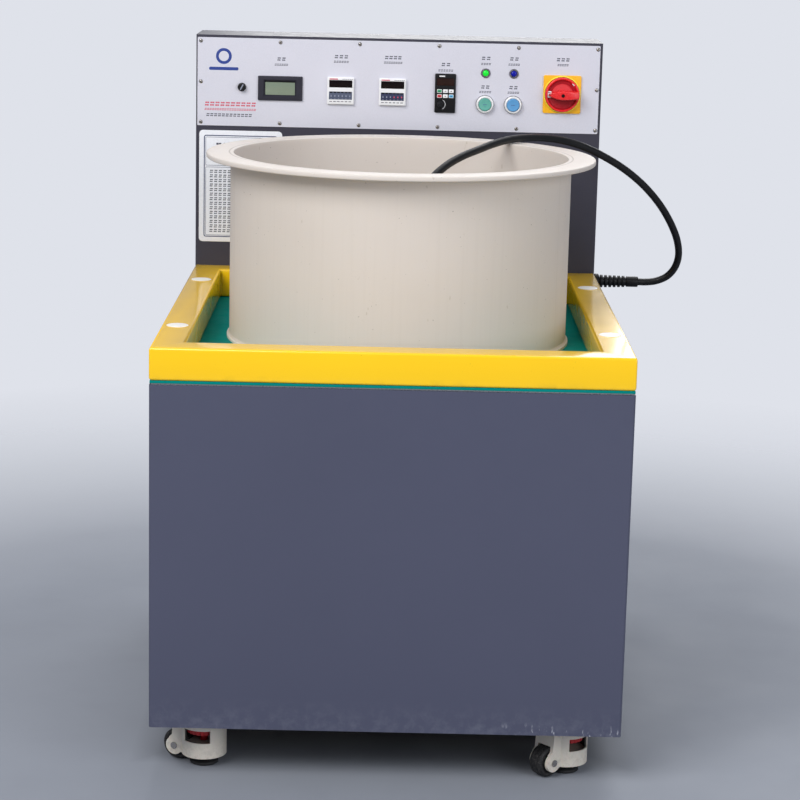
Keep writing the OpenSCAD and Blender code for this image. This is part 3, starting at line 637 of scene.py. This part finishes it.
def lead_points():
    """The route as one smooth curve, then the coil's turns."""
    pts = [Vector(p) for p in ROUTE]
    out = []
    for i in range(len(pts) - 1):
        p0, p1, p2, p3 = pts[max(i - 1, 0)], pts[i], pts[i + 1], pts[min(i + 2, len(pts) - 1)]
        for k in range(5):
            t = k / 5
            out.append(0.5 * ((2 * p1) + (p2 - p0) * t + (2 * p0 - 5 * p1 + 4 * p2 - p3) * t * t
                              + (3 * p1 - p0 - 3 * p2 + p3) * t ** 3))
    n = int(COIL_TURNS * 36)
    for k in range(n + 1):
        t = COIL_TURNS * k / n
        r = COIL_R - LEAD_D * step(t, 0.8, 1.0) + LEAD_D * step(t, 2.4, 2.6) + LEAD_D * step(t, 3.3, 3.6)
        a = math.radians(COIL_START - 360 * t)
        x, y = COIL_AT[0] + r * math.cos(a), COIL_AT[1] + r * math.sin(a)
        out.append(Vector((x, y, COIL_Z + LEAD_D * step(t, 1.6, 1.8))))
    return out


def make_lead():
    pts = lead_points()
    curve = bpy.data.curves.new("power_lead", "CURVE")
    curve.dimensions = "3D"
    sp = curve.splines.new("POLY")
    sp.points.add(len(pts) - 1)
    for p, q in zip(sp.points, pts):
        p.co = (q.x * MM, q.y * MM, q.z * MM, 1)
    sp.use_smooth = True
    curve.bevel_depth = LEAD_D / 2 * MM
    curve.bevel_resolution = 6
    curve.use_fill_caps = True
    ob = bpy.data.objects.new("power_lead", curve)
    scene.collection.objects.link(ob)
    curve.materials.append(M["cord"])
    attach(ob, "machine")
    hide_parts("power_cord", "cord_coil")
    return ob, sum((b - a).length for a, b in zip(pts, pts[1:])) * MM


def make_plug():
    bm = bmesh.new()
    place = Matrix.Translation((COIL_AT[0], -33.5, 652)) @ Matrix.Rotation(math.pi / 2, 4, "Y")
    sleeve = [(6.6, 0, 0), (8.6, 0, 0.8)]
    for i in range(4):
        z = 8 + i * 7
        sleeve += [(8.9, z, 0.4), (7.6, z + 0.8, 0.4), (7.6, z + 2.6, 0.4), (9.1, z + 3.4, 0.4)]
    sleeve += [(9.6, 38, 3), (13.5, 43, 4), (19.3, 54, 6), (19.5, 86, 4), (17.8, 95, 3), (17.8, 103, 1.2),
               (0, 103.6, 0)]
    lathe(bm, rounded_line(sleeve), 48, place)
    for k in range(9):
        block(bm, (18.6, -1.5, 60), (19.45, 1.5, 84), 0.35, turned(place, 40 * k))
    lathe(bm, rounded_line([(0, 103, 0), (17.2, 103, 0), (17.2, 104, 0.5), (0, 104, 0)]), 48, place)
    for a in (0, 120, 240):
        pin = turned(place, a) @ Matrix.Translation((9, 0, 103))
        block(bm, (-1.0, -3.0, 0), (1.0, 3.0, 20), 0.6, pin, 1, 3)
    return piece("lead_plug", bm, [M["black"], M["brass"]], "machine", ("plug",))


def make_ties():
    bm = bmesh.new()
    for a in (75, 250):
        c = turned(Matrix.Translation((*COIL_AT, 0)), a) @ Matrix.Translation((75, 0, 645.5))
        loops = []
        for y in (-1.8, -1.5, 1.5, 1.8):
            grow = 0.55 if abs(y) < 1.6 else 0.15
            loops.append([(p[0], y, p[1]) for p in rrect(26.6 + 2 * grow, 26.6 + 2 * grow, 7, 0, 6)])
        loops = loops + [[(p[0], y, p[1]) for p in rrect(26.2, 26.2, 6.8, 0, 6)] for y in (1.8, -1.8)]
        loft(bm, loops, c, 0, closed=True)
        block(bm, (13.2, -2.6, -3), (15.4, 2.6, 3), 0.5, c)
    return piece("lead_ties", bm, [M["black"]], "machine")


lead, lead_length = make_lead()
plug = make_plug()
ties = make_ties()


def make_gland():
    bm = bmesh.new()
    place = Matrix.Translation(GLAND_AT) @ Matrix.Rotation(math.pi / 2, 4, "Y")
    hexa = []
    for z, r in ((0, 12.6), (0.5, 13.4), (5.2, 13.4), (5.8, 12.8)):
        angles = [math.radians(30 + 60 * k) for k in range(6)]
        hexa.append([(r * math.cos(a), r * math.sin(a), z) for a in angles])
    loft(bm, hexa, place)
    nut = [(0, 5, 0), (12.6, 5, 0), (13.4, 6.2, 0.8), (13.4, 12.2, 1.2), (10.4, 14.2, 0.8), (0, 14.4, 0)]
    lathe(bm, rounded_line(nut), 48, place)
    prof = [(0, 13, 0), (8.3, 13, 0), (8.3, 16, 0.3)]
    for i in range(6):
        z, r = 16 + i * 8, 11.6 - i * 0.25
        neck = 8.0 - i * 0.05
        prof += [(r, z + 0.2, 0.5), (r, z + 4.8, 0.5), (neck, z + 5.0, 0.3), (neck, z + 7.9, 0.3)]
    prof += [(9.6, 64.2, 0.5), (9.6, 84.8, 0.8), (7.2, 86, 0.3), (6.6, 86, 0), (0, 86, 0)]
    lathe(bm, rounded_line(prof, 3), 48, place)
    lathe(bm, rounded_line([(0, -12, 0), (10, -12, 0.6), (10, 0.2, 0), (0, 0.2, 0)]), 40, place)
    return piece("lead_gland", bm, [M["black"]], "machine", ("strain_relief",))


make_gland()


# ---------------------------------------------------------------- table frame and barrel
def make_table_frame():
    bm = bmesh.new()
    prof = [p[:2] for p in rrect(50, 50, 4.5, 0, 5, 25, 25)]
    x0, y0, y1, z0 = 360, -470, 334, 622.5
    loops = []
    for cx, cy in ((-1, -1), (1, -1), (1, 1), (-1, 1)):
        loops.append([(cx * (x0 - n), (y0 + n) if cy < 0 else (y1 - n), z0 + z) for n, z in prof])
    loft(bm, loops, closed=True)
    ob = piece("table_frame", bm, [M["yellow"]], "machine", ("top_frame",), sharp=48)
    bev = ob.modifiers.new("corners", "BEVEL")
    bev.width, bev.segments = 2.2 * MM, 3
    bev.limit_method, bev.angle_limit = "ANGLE", math.radians(60)
    return ob


make_table_frame()
soften("frame_caps", 0.35, M["cap_white"])


def make_barrel():
    bm = bmesh.new()
    place = Matrix.Translation(BARREL)
    lumps = [(3.1, 0.35), (7.7, 0.3), (17.3, 0.2), (29.0, 0.12)]

    def wobble(a, r, z):
        if 276.0 < r < 279.5 and 4.6 < z < 9:
            return sum(k * math.sin(n * a * 3 + n) for n, k in lumps)
        if 276.0 < r < 282 and 284 < z < 291.9:
            return sum(k * math.sin(n * a * 3 + 2 * n) for n, k in lumps)
        return 0.0

    prof = [(0, 0, 0), (270, 0, 0), (279, 0, 0.5), (279, 4.5, 1.6), (277.6, 5.4, 0.8), (275.2, 8.5, 1.0),
            (275, 12, 0),
            (275, 40, 0), (275, 284, 0), (275.4, 286, 0.6), (278.6, 289.4, 1.6), (281, 291.8, 0.8),
            (284, 292, 0), (300, 292, 0), (314, 292, 2.6), (314, 300, 2.6), (302, 300, 0), (280, 300, 0),
            (270, 300, 1.6), (270, 292, 0), (270, 60, 0),
            (270, 14, 3.5), (262, 10, 0), (240, 10, 0), (0, 10, 0)]
    lathe(bm, rounded_line(prof, 4), 200, place, wobble=wobble)
    return piece("barrel_tub", bm, [M["barrel"]], "machine", ("barrel",), sharp=50)


make_barrel()
soften("rubber_mat", 0.6, M["mat"])
soften("top_plate", 0.3, M["stainless"])
soften("cabinet_shell", 0.9, M["cabinet"], 3)
soften("rear_panel", 0.4, M["cabinet"])
soften("console_housing", 1.4, M["console"], 3)
soften("base_frame", 1.6, M["inner"])
soften("motor_mount", 1.2, M["inner"])
soften("motor_housing", 0.8, M["motor"])
soften("motor_rotor", 0.5, M["steel"])
soften("motor_fan", 0.4, M["black"])
soften("fan_cowl", 0.4, M["inner"])
soften("terminal_box", 2.5, M["motor"], 3)
soften("magnet_disc", 1.0, M["disc"])
soften("magnets", 0.6, M["magnet"])
soften("drive_unit", 2.0, M["black"], 3)
soften("panel_contact_blocks", 0.6, M["black"])
soften("m8_bolts", 0.3, M["screw"])
soften("pan_screws", 0.12, M["screw"])
soften("control_panel", 0.3, M["panel"])
soften("caster_plates", 0.5, M["zinc"])


# ---------------------------------------------------------------- panel devices
def make_fuse():
    bm = bmesh.new()
    place = panel_place(-278.5, 992.5)
    prof = [(0, -20, 0), (5.2, -20, 0.4), (5.2, 0.35, 0), (7.4, 0.35, 0.3), (7.4, 5.8, 0.3), (6.9, 7.4, 0.8),
            (5.6, 7.8, 0.3), (0, 7.8, 0)]
    lathe(bm, rounded_line(prof), 40, place)
    for k in range(20):
        block(bm, (7.2, -0.35, 1.0), (7.55, 0.35, 5.6), 0.12, turned(place, 18 * k))
    block(bm, (-5.4, -1.0, 7.7), (5.4, 1.0, 8.0), 0.1, turned(place, 62), 1)
    mats = [M["black"], M["key_grey"]]
    return piece("fuse_holder_cap", bm, mats, "fuse_cap", ("fuse_cap",))


def make_meter():
    bm = bmesh.new()
    place = panel_place(-210.5, 991.5)
    tray(bm, 79, 43, 1.6, 0, 4, (54, 25, 0.8, -0.5, 0.3), 2.4, 0.6, place, 0, slope=1.8)
    block(bm, (-37.7, -19.7, -24), (37.7, 19.7, 0.1), 0.8, place, 0)
    # a dark sheet of painted shade round the display, widest under the bezel's top
    pad(bm, 53.6, 24.6, 0.6, 1.0, 1.65, 0.1, place, 2, -0.5, 0.3)
    pad(bm, 52.4, 22.2, 0.4, 1.2, 1.8, 0.1, place, 1, -0.2, -0.6)
    mats = [M["meter"], M["lcd"], M["shade"]]
    return piece("panel_meter", bm, mats, "machine", ("voltmeter",))


def make_timers():
    bm = bmesh.new()
    for i, x in enumerate(TIMER_X):
        place = panel_place(x, GEAR_Z)
        strip = 6 if i else 2
        block(bm, (-22.3, -22.3, -60), (22.3, 22.3, 0.1), 0.8, place, 0)
        pad(bm, 48, 48, 2.2, 0, 5.2, 0.4, place, 0)
        tray(bm, 45.6, 46.0, 1.6, 5.0, 7, (41.2, 13.2, 0.5, 0, 12.6), 0.8, 0.5, place, 0)
        pad(bm, 41, 13, 0.4, 5.9, 6.35, 0.08, place, 1, 0, 12.6)
        pad(bm, 41, 14, 0.6, 6.8, 7.12, 0.1, place, strip, -0.3, -8)
        for k in range(6):
            cx = -0.3 + (k - 2.5) * 6.6
            pad(bm, 5.2, 2.2, 0.8, 7.0, 7.3, 0.1, place, 7, cx, -2.4, n=3)
            pad(bm, 5.2, 6.0, 0.7, 7.0, 7.62, 0.2, place, strip, cx, -8.8, n=3)
            pad(bm, 2.0, 3.0, 0.6, 7.5, 7.68, 0.06, place, 4 if i and k > 2 else 3, cx, -8.8, n=2)
            pad(bm, 2.6, 1.0, 0.4, 7.0, 7.3, 0.1, place, 3, cx, -13.6, n=2)
        pad(bm, 15, 1.8, 0.3, 6.9, 7.06, 0.04, place, 4, -12.5, 21.0, n=2)
        for k in range(6):
            pad(bm, 2.2, 0.9, 0.2, 6.9, 7.06, 0.04, place, 5, 4 + k * 3.2, 21.0, n=2)
            pad(bm, 4.6, 1.2, 0.2, 6.9, 7.06, 0.04, place, 5, -17.5 + k * 6.8, -18.6, n=2)
    names = ("white", "glass_dark", "strip", "key_grey", "ink_red", "ink_dark", "strip_navy", "shade")
    mats = [M[name] for name in names]
    return piece("panel_timers", bm, mats, "machine", ("timers",))


def make_keypad():
    bm = bmesh.new()
    place = panel_place(KEYPAD_X, GEAR_Z)
    block(bm, (-16.5, -32.5, -22), (16.5, 32.5, 0.1), 0.8, place, 0)
    pad(bm, 37, 69, 2.2, 0, 4.2, 0.5, place, 0)
    tray(bm, 35.4, 67.2, 1.8, 4.0, 6, (31, 13, 0.6, 0, 20), 1.0, 0.7, place, 0)
    pad(bm, 30.7, 12.7, 0.5, 4.6, 5.2, 0.1, place, 1, 0, 20)
    pad(bm, 10, 2.2, 0.4, 5.9, 6.08, 0.05, place, 2, -6, 30.2, n=2)
    for cy, keys in ((4.0, (3, 2, 2)), (-4.8, (4, 2, 5))):
        for k, idx in enumerate(keys):
            cx = (k - 1) * 10.4 + 0.2
            pad(bm, 8.6, 6.2, 1.0, 5.8, 6.5, 0.3, place, 2, cx, cy, n=3)
            pad(bm, 7.2, 4.6, 0.8, 6.4, 6.75, 0.2, place, idx, cx, cy, n=3)
            pad(bm, 2.6, 1.2, 0.4, 6.7, 6.82, 0.04, place, 0, cx, cy, n=2)
    # the knob's printed scale, thicker towards its low end
    for k in range(12):
        a = math.radians(-58 + k * 10.5)
        spot = (-8.5 + 8.9 * math.cos(a), -19.5 + 8.9 * math.sin(a), 0)
        c = Matrix.Translation(spot) @ Matrix.Rotation(a, 4, "Z")
        w = 0.28 + 0.035 * (11 - k)
        block(bm, (-w, -0.84, 5.95), (w, 0.84, 6.1), 0.04, place @ c, 2)
    mats = [M["black"], M["display_brown"], M["white"], M["key_green"], M["key_red"], M["key_blue"]]
    return piece("frequency_keypad", bm, mats, "machine", ("keypad",))


def make_knob():
    bm = bmesh.new()
    place = panel_place(74, 970, 6)
    prof = [(0, -5, 0), (3, -5, 0.3), (3, 0.35, 0), (6.2, 0.35, 0.3), (6.2, 1.6, 0.4), (5.6, 2.2, 0.3),
            (5.1, 7.8, 0.9), (4.0, 8.7, 0.6), (0, 8.5, 0)]
    lathe(bm, rounded_line(prof), 36, place)
    for k in range(16):
        block(bm, (5.0, -0.4, 2.6), (5.65, 0.4, 7.4), 0.15, turned(place, 22.5 * k))
    block(bm, (-0.3, 2.2, 8.3), (0.3, 4.2, 8.62), 0.1, turned(place, 40), 1)
    return piece("frequency_knob", bm, [M["black"], M["key_grey"]], "knob", ("speed_knob",))


def make_lamps():
    bm = bmesh.new()
    ring = [(5.3, -6, 0), (0.6, -6, 0), (0.6, -30, 0), (6, -30, 0.5), (6, 0, 0), (8.5, 0, 0.3),
            (8.5, 1.6, 0.7), (7.2, 3.1, 0.6), (5.9, 3.1, 0.4), (5.3, 2.4, 0)]
    arc = [math.radians(d) for d in (15, 30, 45, 60, 75)]
    dome = [(0, -6), (5.25, -6), (5.25, 2.0)]
    dome += [(5.25 * math.cos(a), 2.0 + 2.4 * math.sin(a)) for a in arc] + [(0, 4.4)]
    for i, x in enumerate(LAMP_X):
        place = panel_place(x, LAMP_Z)
        lathe(bm, rounded_line(ring), 40, place, 0, closed=True)
        lathe(bm, dome, 40, place, i + 1)
    mats = [M["bezel"], M["lens_green"], M["lens_blue"]]
    return piece("pilot_lamps", bm, mats, "machine", ("lamp_bezels", "lamp_lenses"))


def make_bezels():
    bm = bmesh.new()
    ring = [(5.4, -12, 0), (11, -12, 0.4), (11, 0, 0), (15.5, 0, 0.4), (15.5, 5.6, 1.2), (14.6, 8.6, 1.2),
            (12.6, 9.1, 0.5), (11.7, 8.4, 0.3), (11.7, 0.8, 0.2), (5.4, 0.8, 0)]
    # a thin dark ring of painted shade round each bezel's foot
    shade_ring = [(15.0, -0.1, 0), (16.2, -0.1, 0), (16.0, 0.5, 0.1), (15.0, 0.5, 0)]
    for x in LAMP_X:
        place = panel_place(x, BUTTON_Z)
        lathe(bm, rounded_line(ring), 56, place, 0, closed=True)
        lathe(bm, rounded_line(shade_ring), 56, place, 1, closed=True)
    mats = [M["bezel_white"], M["shade"]]
    return piece("button_rings", bm, mats, "machine", ("button_bezels",))


def make_button(name, x, mat, body, node):
    bm = bmesh.new()
    place = panel_place(x, BUTTON_Z)
    prof = [(0, -14, 0), (5.3, -14, 0.4), (5.3, 5.2, 0.3), (11.3, 5.2, 0.3), (11.3, 9.4, 0.9),
            (10.0, 10.4, 0.8), (6, 9.7, 2.0), (0, 9.4, 0)]
    lathe(bm, rounded_line(prof), 48, place)
    for k in range(3):
        pad(bm, 2.0, 1.6, 0.3, 9.35, 9.56, 0.04, place, 1, (k - 1) * 2.9, 0, n=2)
    return piece(name, bm, [mat, M["ink_line"]], body, (node,))


def make_switch():
    bm = bmesh.new()
    place = panel_place(*SWITCH_AT)
    tray(bm, 67, 67, 3, 0, 4, (61.4, 61.4, 30.6, 0, 0), 0.5, 0.6, place, 0)
    # the raised rim round the dial, in a lighter yellow: a painted highlight
    rim = [(30.9, 3.4, 0), (32.9, 3.4, 0.2), (32.5, 6.4, 0.5), (31.2, 6.6, 0.3), (30.9, 6.0, 0.1)]
    lathe(bm, rounded_line(rim), 72, place, 1, closed=True)
    mats = [M["switch_yellow"], M["switch_rim_highlight"]]
    piece("switch_base", bm, mats, "machine", ("switch_plate",))
    bm = bmesh.new()
    place = panel_place(*SWITCH_AT, 4.3)
    ring = [(4, 0, 0), (30.4, 0, 0.5), (30.5, DIAL_H - 3, 1.0), (29.6, DIAL_H, 1.4), (27.4, DIAL_H, 0.9),
            (26.3, DIAL_H - 2, 0.6), (25.4, 3.8, 1.0), (0, 3.2, 0)]
    # the cup inside the ring in a darker red: painted shade of the recess
    cup = [(0, 3.3, 0), (25.3, 3.9, 0.6), (26.1, DIAL_H - 2.6, 0), (25.7, DIAL_H - 2.6, 0), (25.0, 5.0, 1.4),
           (0, 4.3, 0)]
    lathe(bm, rounded_line([(0, -18, 0), (4, -18, 0.4), (4, 0, 0)]) + rounded_line(ring)[1:], 80, place)
    lathe(bm, rounded_line(cup), 80, place, 4)
    # the raised half boss above the grip
    half = []
    for z, r in ((3.4, 19.8), (DIAL_H - 5, 19.2), (DIAL_H - 3.6, 18.0)):
        pts = [(r * math.cos(math.radians(a)), r * math.sin(math.radians(a)), z) for a in range(0, 181, 9)]
        half.append(pts + [(-r, -2, z), (r, -2, z)])
    loft(bm, half, place, 5)
    # the grip: a pointed tail on the left, straight into the ring on the right
    outline = [(-24.5, -0.2), (-18, 3.4), (-9, 6.2), (0, 7.2), (10, 6.6), (20, 5.8), (27.5, 5.2), (29.7, 4.4),
               (29.7, -5.0), (27.5, -5.8), (20, -6.4), (10, -7.0), (0, -7.6), (-9, -6.4), (-18, -3.8)]
    levels = ((3.4, 1.6), (DIAL_H - 4, 1.2), (GRIP_H - 4, 0.6), (GRIP_H - 1.2, 0.1), (GRIP_H - 0.3, -0.5),
              (GRIP_H, -1.6))
    wing = []
    for z, grow in levels:
        loop = []
        for x, y in outline:
            d = math.hypot(x, y) or 1
            fall = 0.34 * (x / 30) ** 2 if x < 0 else 0.2 * max(0.0, (x - 14) / 16) ** 1.5
            sx = min(x + grow * (x / d) * 0.6, math.sqrt(29.0 ** 2 - y * y))
            loop.append((sx, y + grow * (1 if y > 0 else -1), 3.4 + (z - 3.4) * (1 - fall)))
        wing.append(loop)
    loft(bm, wing, place)
    # the hole in the grip's top, a dark disc of painted shade
    hole = [(0, GRIP_H - 2.4, 0), (3.0, GRIP_H - 2.4, 0), (3.0, GRIP_H + 0.06, 0.1), (0, GRIP_H + 0.06, 0)]
    lathe(bm, rounded_line(hole), 24, place, 1)
    pad(bm, 7.6, 11.0, 0.8, 4.0, DIAL_H - 2.2, 0.15, place, 2, -23.2, 0.6, n=3)
    pad(bm, 3.6, 4.6, 0.6, DIAL_H - 2.4, DIAL_H - 2.06, 0.05, place, 3, -22.6, -0.4, n=2)
    pad(bm, 4.6, 1.2, 0.4, DIAL_H - 2.4, DIAL_H - 2.06, 0.05, place, 3, -23.4, 3.6, n=2)
    # a painted highlight: a small white pad on the dial's rim
    glint = turned(place @ Matrix.Translation((18.8, 18.6, 0)), -52)
    pad(bm, 5.0, 1.8, 0.6, DIAL_H - 3.4, DIAL_H - 0.6, 0.1, glint, 2, n=2)
    mats = [M["red"], M["shade"], M["white"], M["ink_dark"], M["red_painted_shade"], M["red_boss"]]
    return piece("switch_grip", bm, mats, "main_switch", ("switch_handle",))


def dashes(bm, w, h, cx, cy, place, index, top=0.12, low=-0.2):
    """Two rows of two short dashes, a plain stand-in for print."""
    for row in (-1, 1):
        for side in (-1, 1):
            x, y = cx + w * (0.25 * side + 0.05 * row), cy + h * 0.27 * row
            pad(bm, w * 0.44, h * 0.3, 0.1, low, top, 0.03, place, index, x, y, n=1, steps=1)


def print_line(bm, place, width, size, index, gap=0.24, **kw):
    """A row of marks, centred on the place."""
    n = max(2, round(width / (size * (1 + gap))))
    for k in range(n):
        dashes(bm, size * 0.86, size, (k - (n - 1) / 2) * width / n, 0, place, index, **kw)


def make_prints():
    """Rows of plain marks where the panel has its legends, and a plain field for the maker."""
    bm = bmesh.new()
    # each legend: x, then the height over the floor and the width of its two lines
    titles = ((-209, 1043, 17, 1033, 24), (TIMER_X[0], 1049.5, 26, 1040.5, 27),
              (TIMER_X[1], 1050, 31, 1041, 33), (KEYPAD_X, 1040, 18, 1029.5, 27),
              (LAMP_X[0], 1052.5, 18, 1042.5, 18), (LAMP_X[1], 1052.5, 18, 1042.5, 21),
              (LAMP_X[0], 1002, 17, 993, 22), (LAMP_X[1], 1002, 17, 993, 21),
              (SWITCH_AT[0], 1053, 25, 1043.5, 20))
    for x, z, w, z2, w2 in titles:
        print_line(bm, panel_place(x, z), w, 6.6, 0)
        print_line(bm, panel_place(x, z2), w2, 4.0, 0, gap=0.05)
    place = panel_place(-311, 1046)
    lathe(bm, [(9, -0.2), (14, -0.2), (14, 0.12), (9, 0.12)], 48, place, 1, closed=True)
    pad(bm, 52, 5.6, 2.2, -0.2, 0.12, 0.03, panel_place(-311, 1024), 1, n=3, steps=1)
    print_line(bm, panel_place(-299, 961.5), 92, 8.4, 2, gap=0.1)
    print_line(bm, panel_place(-299, 952), 92, 4.2, 2, gap=0.05)
    print_line(bm, panel_place(-301, 942), 82, 6.0, 0, gap=0.1)
    mats = [M["ink_dark"], M["ink_blue"], M["ink_red"]]
    return piece("panel_prints", bm, mats, "machine")


def frame_line(bm, w, h, r, t, place, index, cy=0.0):
    """A printed rectangular line of width t."""
    outer = rrect(w, h, r, 0.9, 5, 0, cy)
    inner = rrect(w - 2 * t, h - 2 * t, max(r - t, 0.1), 0.9, 5, 0, cy)
    loops = [outer, [(x, y, 1.1) for x, y, _ in outer], [(x, y, 1.1) for x, y, _ in inner], inner]
    loft(bm, loops, place, index, closed=True)


def make_info_plate():
    bm = bmesh.new()
    place = panel_place(-280, 814.5, face=WALL_Y)
    pad(bm, 148, 200, 7, 0, 1, 0.3, place, 0, n=8)
    frame_line(bm, 131, 183, 4.0, 1.7, place, 1)
    frame_line(bm, 125, 51, 2.0, 0.7, place, 1, 62.5)
    frame_line(bm, 125, 123, 2.0, 0.7, place, 1, -27)
    print_line(bm, place @ Matrix.Translation((0, 73, 0)), 92, 11, 2, top=1.1, low=0.9)
    print_line(bm, place @ Matrix.Translation((0, 55, 0)), 104, 6.6, 2, top=1.1, low=0.9)
    widths = (112, 112, 104, 112, 112, 112, 96, 112, 112, 104, 112, 112, 112, 70)
    for i, w in enumerate(widths):
        line = place @ Matrix.Translation((-56 + w / 2, 26.5 - i * 8.2, 0))
        print_line(bm, line, w, 6.2, 2, gap=0.3, top=1.08, low=0.9)
    mats = [M["film"], M["ink_frame"], M["ink_dark"]]
    return piece("instruction_plate", bm, mats, "machine", ("info_plate",))


make_fuse()
make_meter()
make_timers()
make_keypad()
make_knob()
make_lamps()
make_bezels()
make_button("start_cap", LAMP_X[0], M["teal"], "start_button", "green_button")
make_button("stop_cap", LAMP_X[1], M["sky"], "stop_button", "blue_button")
make_switch()
make_prints()
make_info_plate()


# ---------------------------------------------------------------- casters
def make_wheel(corner):
    x, y, turn = CORNERS[corner]
    axle = Matrix.Translation((WHEEL_ARM, 0, WHEEL_AXLE_Z)) @ Matrix.Rotation(math.pi / 2, 4, "X")
    place = turned(Matrix.Translation((x, y, 0)), turn) @ axle
    bm = bmesh.new()
    half = [(4.1, 12.3, 0), (9.6, 12.3, 0.8), (10.2, 10.6, 0.6), (16.8, 10.2, 0.8), (18.2, 12.3, 1.0),
            (21.6, 12.3, 1.8), (23.9, 9.6, 1.2), (24.0, 5.6, 0.3), (23.2, 5.2, 0.3), (23.2, 4.2, 0.3),
            (24.0, 3.8, 0.3)]
    prof = half + [(r, -z, q) for r, z, q in reversed(half)]
    lathe(bm, rounded_line(prof, 3), 64, place, 0, closed=True)
    for k in range(5):
        for s in (-1, 1):
            block(bm, (10.4, -1.4, s * 11.0 - 0.9), (17.2, 1.4, s * 11.0 + 0.9), 0.4, turned(place, 72 * k))
    gone = (f"caster_wheel_{corner}",)
    return piece(f"wheel_{corner}_tyre", bm, [M["tyre"]], f"wheel_{corner}", gone)


def make_foot(corner):
    x, y, turn = CORNERS[corner]
    place = turned(Matrix.Translation((x, y, 0)), turn)
    bm = bmesh.new()
    prof = [(0, 0, 0), (20.4, 0, 0.4), (22, 1.4, 0.8), (22, 4.8, 1.0), (17, 7.9, 2.0), (10.4, 8.3, 0.8),
            (10, 13, 0.6), (6.1, 13, 0.2), (6.1, 5.6, 0), (0, 5.6, 0)]
    lathe(bm, rounded_line(prof), 56, place)
    for k in range(12):
        block(bm, (11.2, -0.7, 6.4), (18.2, 0.7, 8.0), 0.3, turned(place, 30 * k))
    gone = (f"caster_foot_{corner}",)
    return piece(f"foot_{corner}_pad", bm, [M["pad"]], f"foot_{corner}", gone)


for corner in CORNERS:
    soften(f"caster_housing_{corner}", 1.1, M["nylon"], 3)
    soften(f"caster_axle_{corner}", 0.5, M["screw"])
    soften(f"caster_thumbwheel_{corner}", 0.35, M["thumb"])
    make_wheel(corner)
    make_foot(corner)


# ---------------------------------------------------------------- floor and light
def make_floor():
    """A round floor that melts into the pale studio, grey round the machine, with a painted shadow under it.
    """
    bm = bmesh.new()
    loops = [[(0, 0, 0)]]
    for r in (400, 900, 1600, 2200, 2700):
        turn = [2 * math.pi * k / 96 for k in range(96)]
        loops.append([(r * math.cos(a), r * math.sin(a), 0) for a in turn])
    loft(bm, loops, end_cap=False)
    bmesh.ops.scale(bm, vec=(MM, MM, MM), verts=bm.verts)
    me = bpy.data.meshes.new("studio_floor")
    bm.to_mesh(me)
    bm.free()
    ob = bpy.data.objects.new("studio_floor", me)
    scene.collection.objects.link(ob)
    m = Mat("floor_paint", "#8f949e", rough=0.6, spec=0.22)
    x, y, z = m.xyz()
    r = m.math("SQRT", m.math("ADD", m.math("MULTIPLY", x, x), m.math("MULTIPLY", y, y)))
    m.mottle(6, 0.96, 1.03)
    m.paint(m.ramp(r, 0.8, 2.2, 0.0, 1.0), lin("#c9ccd3"))
    far = m.math("MAXIMUM", m.math("ABSOLUTE", x), m.math("ABSOLUTE", y))
    # painted shadow: the floor almost black within the machine's footprint
    m.paint(m.ramp(far, 0.24, 0.4, 0.93, 0.0), lin("#0b0b0d"))
    m.link(m.ramp(r, 1.1, 2.6, 1.0, 0.0), m.b.inputs["Alpha"])
    m.gloss(5, 0.06)
    m.grain(90, 0.0003, 0.08)
    me.materials.append(m.m)


def make_world():
    """Soft light all round. Seen directly it is the pale studio."""
    world = bpy.data.worlds.new("studio")
    scene.world = world
    world.use_nodes = True
    t = world.node_tree
    soft = t.nodes["Background"]
    soft.inputs[0].default_value = (0.86, 0.9, 1.0, 1)
    soft.inputs[1].default_value = 0.33
    pale = t.nodes.new("ShaderNodeBackground")
    pale.inputs[0].default_value = lin("#dfe2ea")
    pale.inputs[1].default_value = 1.0
    path = t.nodes.new("ShaderNodeLightPath")
    mix = t.nodes.new("ShaderNodeMixShader")
    t.links.new(path.outputs["Is Camera Ray"], mix.inputs[0])
    t.links.new(soft.outputs[0], mix.inputs[1])
    t.links.new(pale.outputs[0], mix.inputs[2])
    t.links.new(mix.outputs[0], t.nodes["World Output"].inputs[0])


def area(name, spot, aim, size, power, colour=(1, 1, 1)):
    data = bpy.data.lights.new(name, "AREA")
    data.shape = "RECTANGLE"
    data.size, data.size_y = size
    data.energy = power
    data.color = colour
    ob = bpy.data.objects.new(name, data)
    scene.collection.objects.link(ob)
    ob.location = spot
    ob.rotation_euler = (Vector(aim) - Vector(spot)).to_track_quat("-Z", "Y").to_euler()


make_floor()
make_world()
area("key", (-1.7, -2.6, 3.0), (0, 0, 0.7), (2.4, 2.0), 118, (1, 0.985, 0.97))
area("fill", (2.4, -3.0, 1.7), (0, 0, 0.55), (2.2, 2.0), 50, (0.95, 0.97, 1))
area("top", (0.3, 0.9, 3.0), (0, 0, 0.8), (2.2, 1.8), 24)
area("back", (0.6, 3.4, 2.4), (0, 0, 0.6), (2.4, 2.0), 50)
scene.view_settings.view_transform = "Standard"
scene.view_settings.look = "None"
scene.view_settings.exposure = 0.0
